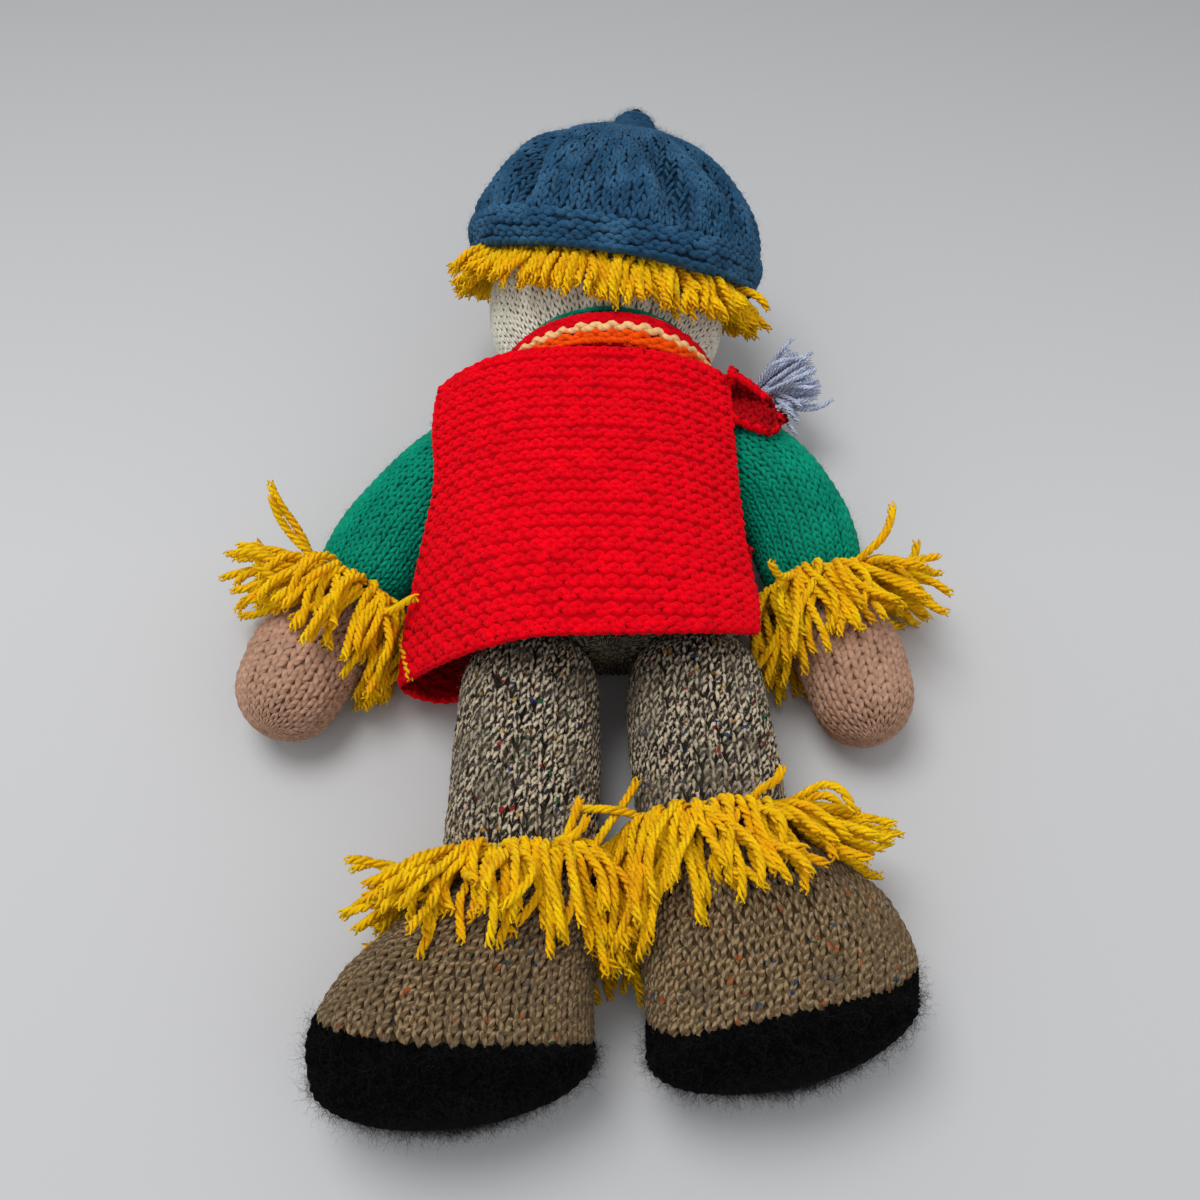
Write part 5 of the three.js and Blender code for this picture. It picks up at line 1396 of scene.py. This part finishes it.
def front_grid(side, rows=90, columns=50):
    """Each line goes from the inner to the outer edge. The hem is the first line, and swings out early."""
    t = np.linspace(0, 1, columns)
    lines = []
    for number, (inner, outer, rise, *sag) in enumerate(FRONTS[side]):
        a, b = np.array(inner, float), np.array(outer, float)
        hollow = (sag[0] if sag else 0) * np.sin(math.pi * t)
        fall = 1 - (1 - t) ** 2.2 if number == 0 else t**3
        x = a[0] + (b[0] - a[0]) * t
        y = a[1] + (b[1] - a[1]) * fall + 0.4 * hollow
        z = a[2] + (b[2] - a[2]) * t**rise - hollow
        lines.append(np.stack([x, y, z], -1))
    return through_lines(lines, rows)


print("front panels:", {side: f"{len(lines)} lines" for side, lines in FRONTS.items()})

# %% [markdown]
# ## The cloth of a panel
# Garter stitch looks the same on both faces, and the waistcoat shows both: its outside, and its inside at the open
# corner. So a panel is a thin cloth with stitches on each face, whose yarn goes no deeper than the panel's middle, or
# it would come out on the other side. The thin cloth is a piece of its own, as the sheet that the stitches ride on.


# %% Panel cloth
GARTER = 4.5  # the panel's full thickness, with its stitches
CLOTH_HALF = 0.95


def panel_cloth(name, node, middle):
    """A closed sheet, round which the rim goes from the top's edge to the underside's."""
    top, low = ((middle.points + middle.normals * away)[::2, ::2] for away in (CLOTH_HALF, -CLOTH_HALF))
    rows, columns = top.shape[:2]
    under, number = rows * columns, np.arange(rows * columns).reshape(rows, columns)
    faces = grid_quads(rows, columns, False)
    ring = np.concatenate([number[0, :-1], number[:-1, -1], number[-1, :0:-1], number[:0:-1, 0]])
    after = np.roll(ring, -1)
    rim = np.stack([after, ring, ring + under, after + under], -1)
    sheet = Piece(f"{name}_cloth")
    corners = np.concatenate([top.reshape(-1, 3), low.reshape(-1, 3)])
    # Marked as backing, the sheet gets the backing's painted shade, which shows between the stitches.
    sheet.add(corners, np.concatenate([faces, faces[:, ::-1] + under, rim]), BACKING_MARK)
    return sheet.make("torso", node, [red], "red_wool")


def panel_border(middle):
    """A narrow cloth round the panel's edge, for the chain of stitches that closes it."""
    half, p, n = GARTER / 2, middle.points, middle.normals
    loop, loop_n = (np.concatenate([g[0, :-1], g[:-1, -1], g[-1, :0:-1], g[:0:-1, 0]]) for g in (p, n))
    ahead = unit(np.roll(loop, -3, 0) - np.roll(loop, 3, 0))
    out = unit(np.cross(ahead, loop_n))
    inward = p[len(p) // 2, p.shape[1] // 2] - loop
    out = np.where((out * inward).sum(-1, keepdims=True) > 0, -out, out)
    phi = np.radians(np.linspace(-85, 85, 13))[None, :, None]
    rim = loop[:, None] - out[:, None] * 0.8 + half * (np.cos(phi) * out[:, None] + np.sin(phi) * loop_n[:, None])
    border = Cloth(np.concatenate([rim, rim[:1]]), closed=False)
    if (border.normals[:-1, 6] * out).sum(-1).mean() < 0:
        border.normals *= -1
    return border


# %% [markdown]
# ## Knitting the panels
# The right front's strap sags at the shoulder, and the hollow there gets painted shade. The inner faces hardly see
# any light, and they get painted shade too.

# %% Waistcoat panels
# Painted shade on the panels' inner faces.
INSIDE_SHADE = 0.95
GARTER_STITCHES, CHAIN = (PURL, 5.2, 4.9, 1.42), (STOCKINETTE, 5.6, 4.6, 1.1)


def panel(name, node, grid, shade=0.0):
    """The thin cloth, garter stitch on both its faces, and the chain of stitches round the rim."""
    middle = Cloth(grid, closed=False)
    half, p, n = GARTER / 2, middle.points, middle.normals
    sheet = panel_cloth(name, node, middle)
    piece = Piece(name)
    for sign in (1, -1):
        face = Cloth(p + n * half * sign, closed=False, flip=sign < 0)
        # Painted shade: on the inner face always, on the outer one as given.
        knit(piece, face, *GARTER_STITCHES, jitter=0.06, wander=0.06, deepest=half * 0.95,
             shade=shade if sign > 0 else INSIDE_SHADE)
    knit(piece, panel_border(middle), *CHAIN, columns=1)
    fuzz(piece, Cloth(p + n * half, closed=False), 2200, 3.5, width=0.05)
    piece.make("torso", node, [red], "red_wool")
    area = np.linalg.norm(np.cross(p[1:, :-1] - p[:-1, :-1], p[:-1, 1:] - p[:-1, :-1]), axis=-1).sum() * MM**2
    print(f"{name}: area {area:.5f} square metres, middle {middle.width:.0f} by {middle.length:.0f} mm")
    return sheet


def strap_hollow_shade(u, v):
    """The painted shade of the sagging strap: at the top of the right front, away from its edges."""
    return 0.9 * np.clip((v - 0.78) / 0.06, 0, 1) * np.clip(np.sin(math.pi * u) * 1.6 - 0.45, 0, 1)


back_cloth = panel("knit_waistcoat_back", "waistcoat_back", back_grid())
front_cloths = {side: panel(f"knit_waistcoat_{side}_front", f"waistcoat_{side}_front", front_grid(side), shade)
                for side, shade in (("left", 0.0), ("right", strap_hollow_shade))}

# %% [markdown]
# ## Filling
# Fibre filling shows only when the covers are taken off. It is a soft white mass with the form of its CAD piece, so
# the limb's own surface, shrunk by the cover's thickness and dented by slow waves, is all it takes.

# %% Fibre filling
COVER_THICKNESS, FILLING_LUMP, FILLING_DENT = 4.4, 5, 0.5
fillings = [("torso", "torso_stuffing", torso, 0.01, 1.98), ("head_core", "head_stuffing", head, -0.75, 1.98)]
fillings += [(f"{side}_arm", f"{side}_arm_stuffing", arms[side], -0.75, 1.98) for side in arms]
fillings += [(f"{side}_leg", f"{side}_leg_stuffing", legs[side], -0.75, 1.98) for side in legs]
for body, node, limb, s_from, s_to in fillings:
    core = Piece(f"fibre_{node}")
    cloth = limb_cloth(limb, s_from, s_to, grow=-COVER_THICKNESS, lumps=0.0, rows=60, columns=72)
    lumpy = cloth.points + cloth.normals * soft_noise(cloth.points, FILLING_LUMP, FILLING_DENT)[..., None]
    first, last = (lumpy[k] * 0 + lumpy[k].mean(0) for k in (0, -1))
    # As a plain grid it is marked as backing, so its white also gets the backing's painted shade.
    core.add_grid(np.concatenate([first[None], lumpy, last[None]]), True)
    core.make(body, node, [filling], "stuffing")

# %% [markdown]
# ## Soft pieces
# The waistcoat's panels are sheets that lie on the sweater. When it was made, each printed its flat size, as if it
# were taken off and laid out, and its area, which tells more for the fronts, because they are narrower above the hem.
# Here the sheets' names are printed.

# %% Sheets
print("sheets:", back_cloth.name, *(cloth.name for cloth in front_cloths.values()))

# %% [markdown]
# ## Floor
# The doll needs something plain to lie on, which also catches its soft shadow: a wide, pale, matt face. Light that
# fades evenly into the distance would take many lamps, so painted shade darkens the floor's colour from the doll on.

# %% Floor
floor_mesh = bpy.data.meshes.new("floor")
floor_mesh.from_pydata([(-4, -3, -0.0004), (4, -3, -0.0004), (4, 6, -0.0004), (-4, 6, -0.0004)], [], [(0, 1, 2, 3)])
floor = bpy.data.objects.new("floor", floor_mesh)
bpy.context.scene.collection.objects.link(floor)
paper = bpy.data.materials.new("paper")
paper.use_nodes = True
bench = Bench(paper.node_tree)
# Painted shade: the floor's colour darkens from the doll towards +Y.
distance = bench.ramp(bench.axes(bench.object_place())[1], 0.0, 0.5)
painted_falloff = bench.mix("MIX", (0.58, 0.58, 0.585, 1), (0.37, 0.372, 0.376, 1), distance)
paper_shader = paper.node_tree.nodes["Principled BSDF"]
bench.join(painted_falloff, paper_shader.inputs["Base Color"])
paper_shader.inputs["Roughness"].default_value = 0.95
paper_shader.inputs["Specular IOR Level"].default_value = 0.1
floor_mesh.materials.append(paper)
print("floor:", tuple(round(side, 1) for side in floor.dimensions))

# %% [markdown]
# ## Light and camera
# Wool looks best in wide, soft light that leaves hardly any shadow. A bright surrounding does most of it, one large
# lamp from the doll's left brings out the stitches, and a weak one lifts the other side. The camera looks down from
# the feet's end. Its place was solved from the doll's outline.

# %% Light
scene = bpy.context.scene
scene.view_settings.view_transform = "Standard"
world = bpy.data.worlds.new("soft_room")
scene.world = world
world.use_nodes = True
surrounding = world.node_tree.nodes["Background"]
surrounding.inputs["Color"].default_value = (0.95, 0.97, 1.0, 1)
surrounding.inputs["Strength"].default_value = 0.58
DOLL_MIDDLE = (0, 0, 0.03)


def soft_lamp(name, place, size, power):
    """A round lamp that faces the doll's middle."""
    data = bpy.data.lights.new(name, "AREA")
    data.shape, data.size, data.energy = "DISK", size, power
    lamp = bpy.data.objects.new(name, data)
    scene.collection.objects.link(lamp)
    lamp.location = place
    lamp.rotation_euler = (Vector(DOLL_MIDDLE) - Vector(place)).to_track_quat("-Z", "Y").to_euler()


soft_lamp("key", (-0.32, 0.2, 1.4), 0.8, 11)
soft_lamp("fill", (0.7, -0.7, 1.1), 1.2, 0.9)
print("lamps:", len(bpy.data.lights))

# %% Camera
camera_data = bpy.data.cameras.new("camera")
camera_data.sensor_width, camera_data.lens = 36, 34.8
camera_data.clip_start = 0.01
camera = bpy.data.objects.new("camera", camera_data)
scene.collection.objects.link(camera)
camera.location = (-0.003, -0.273, 0.419)
camera.rotation_euler = (math.radians(31.2), 0, 0)
scene.camera = camera
print("camera height:", round(camera.location.z, 3))
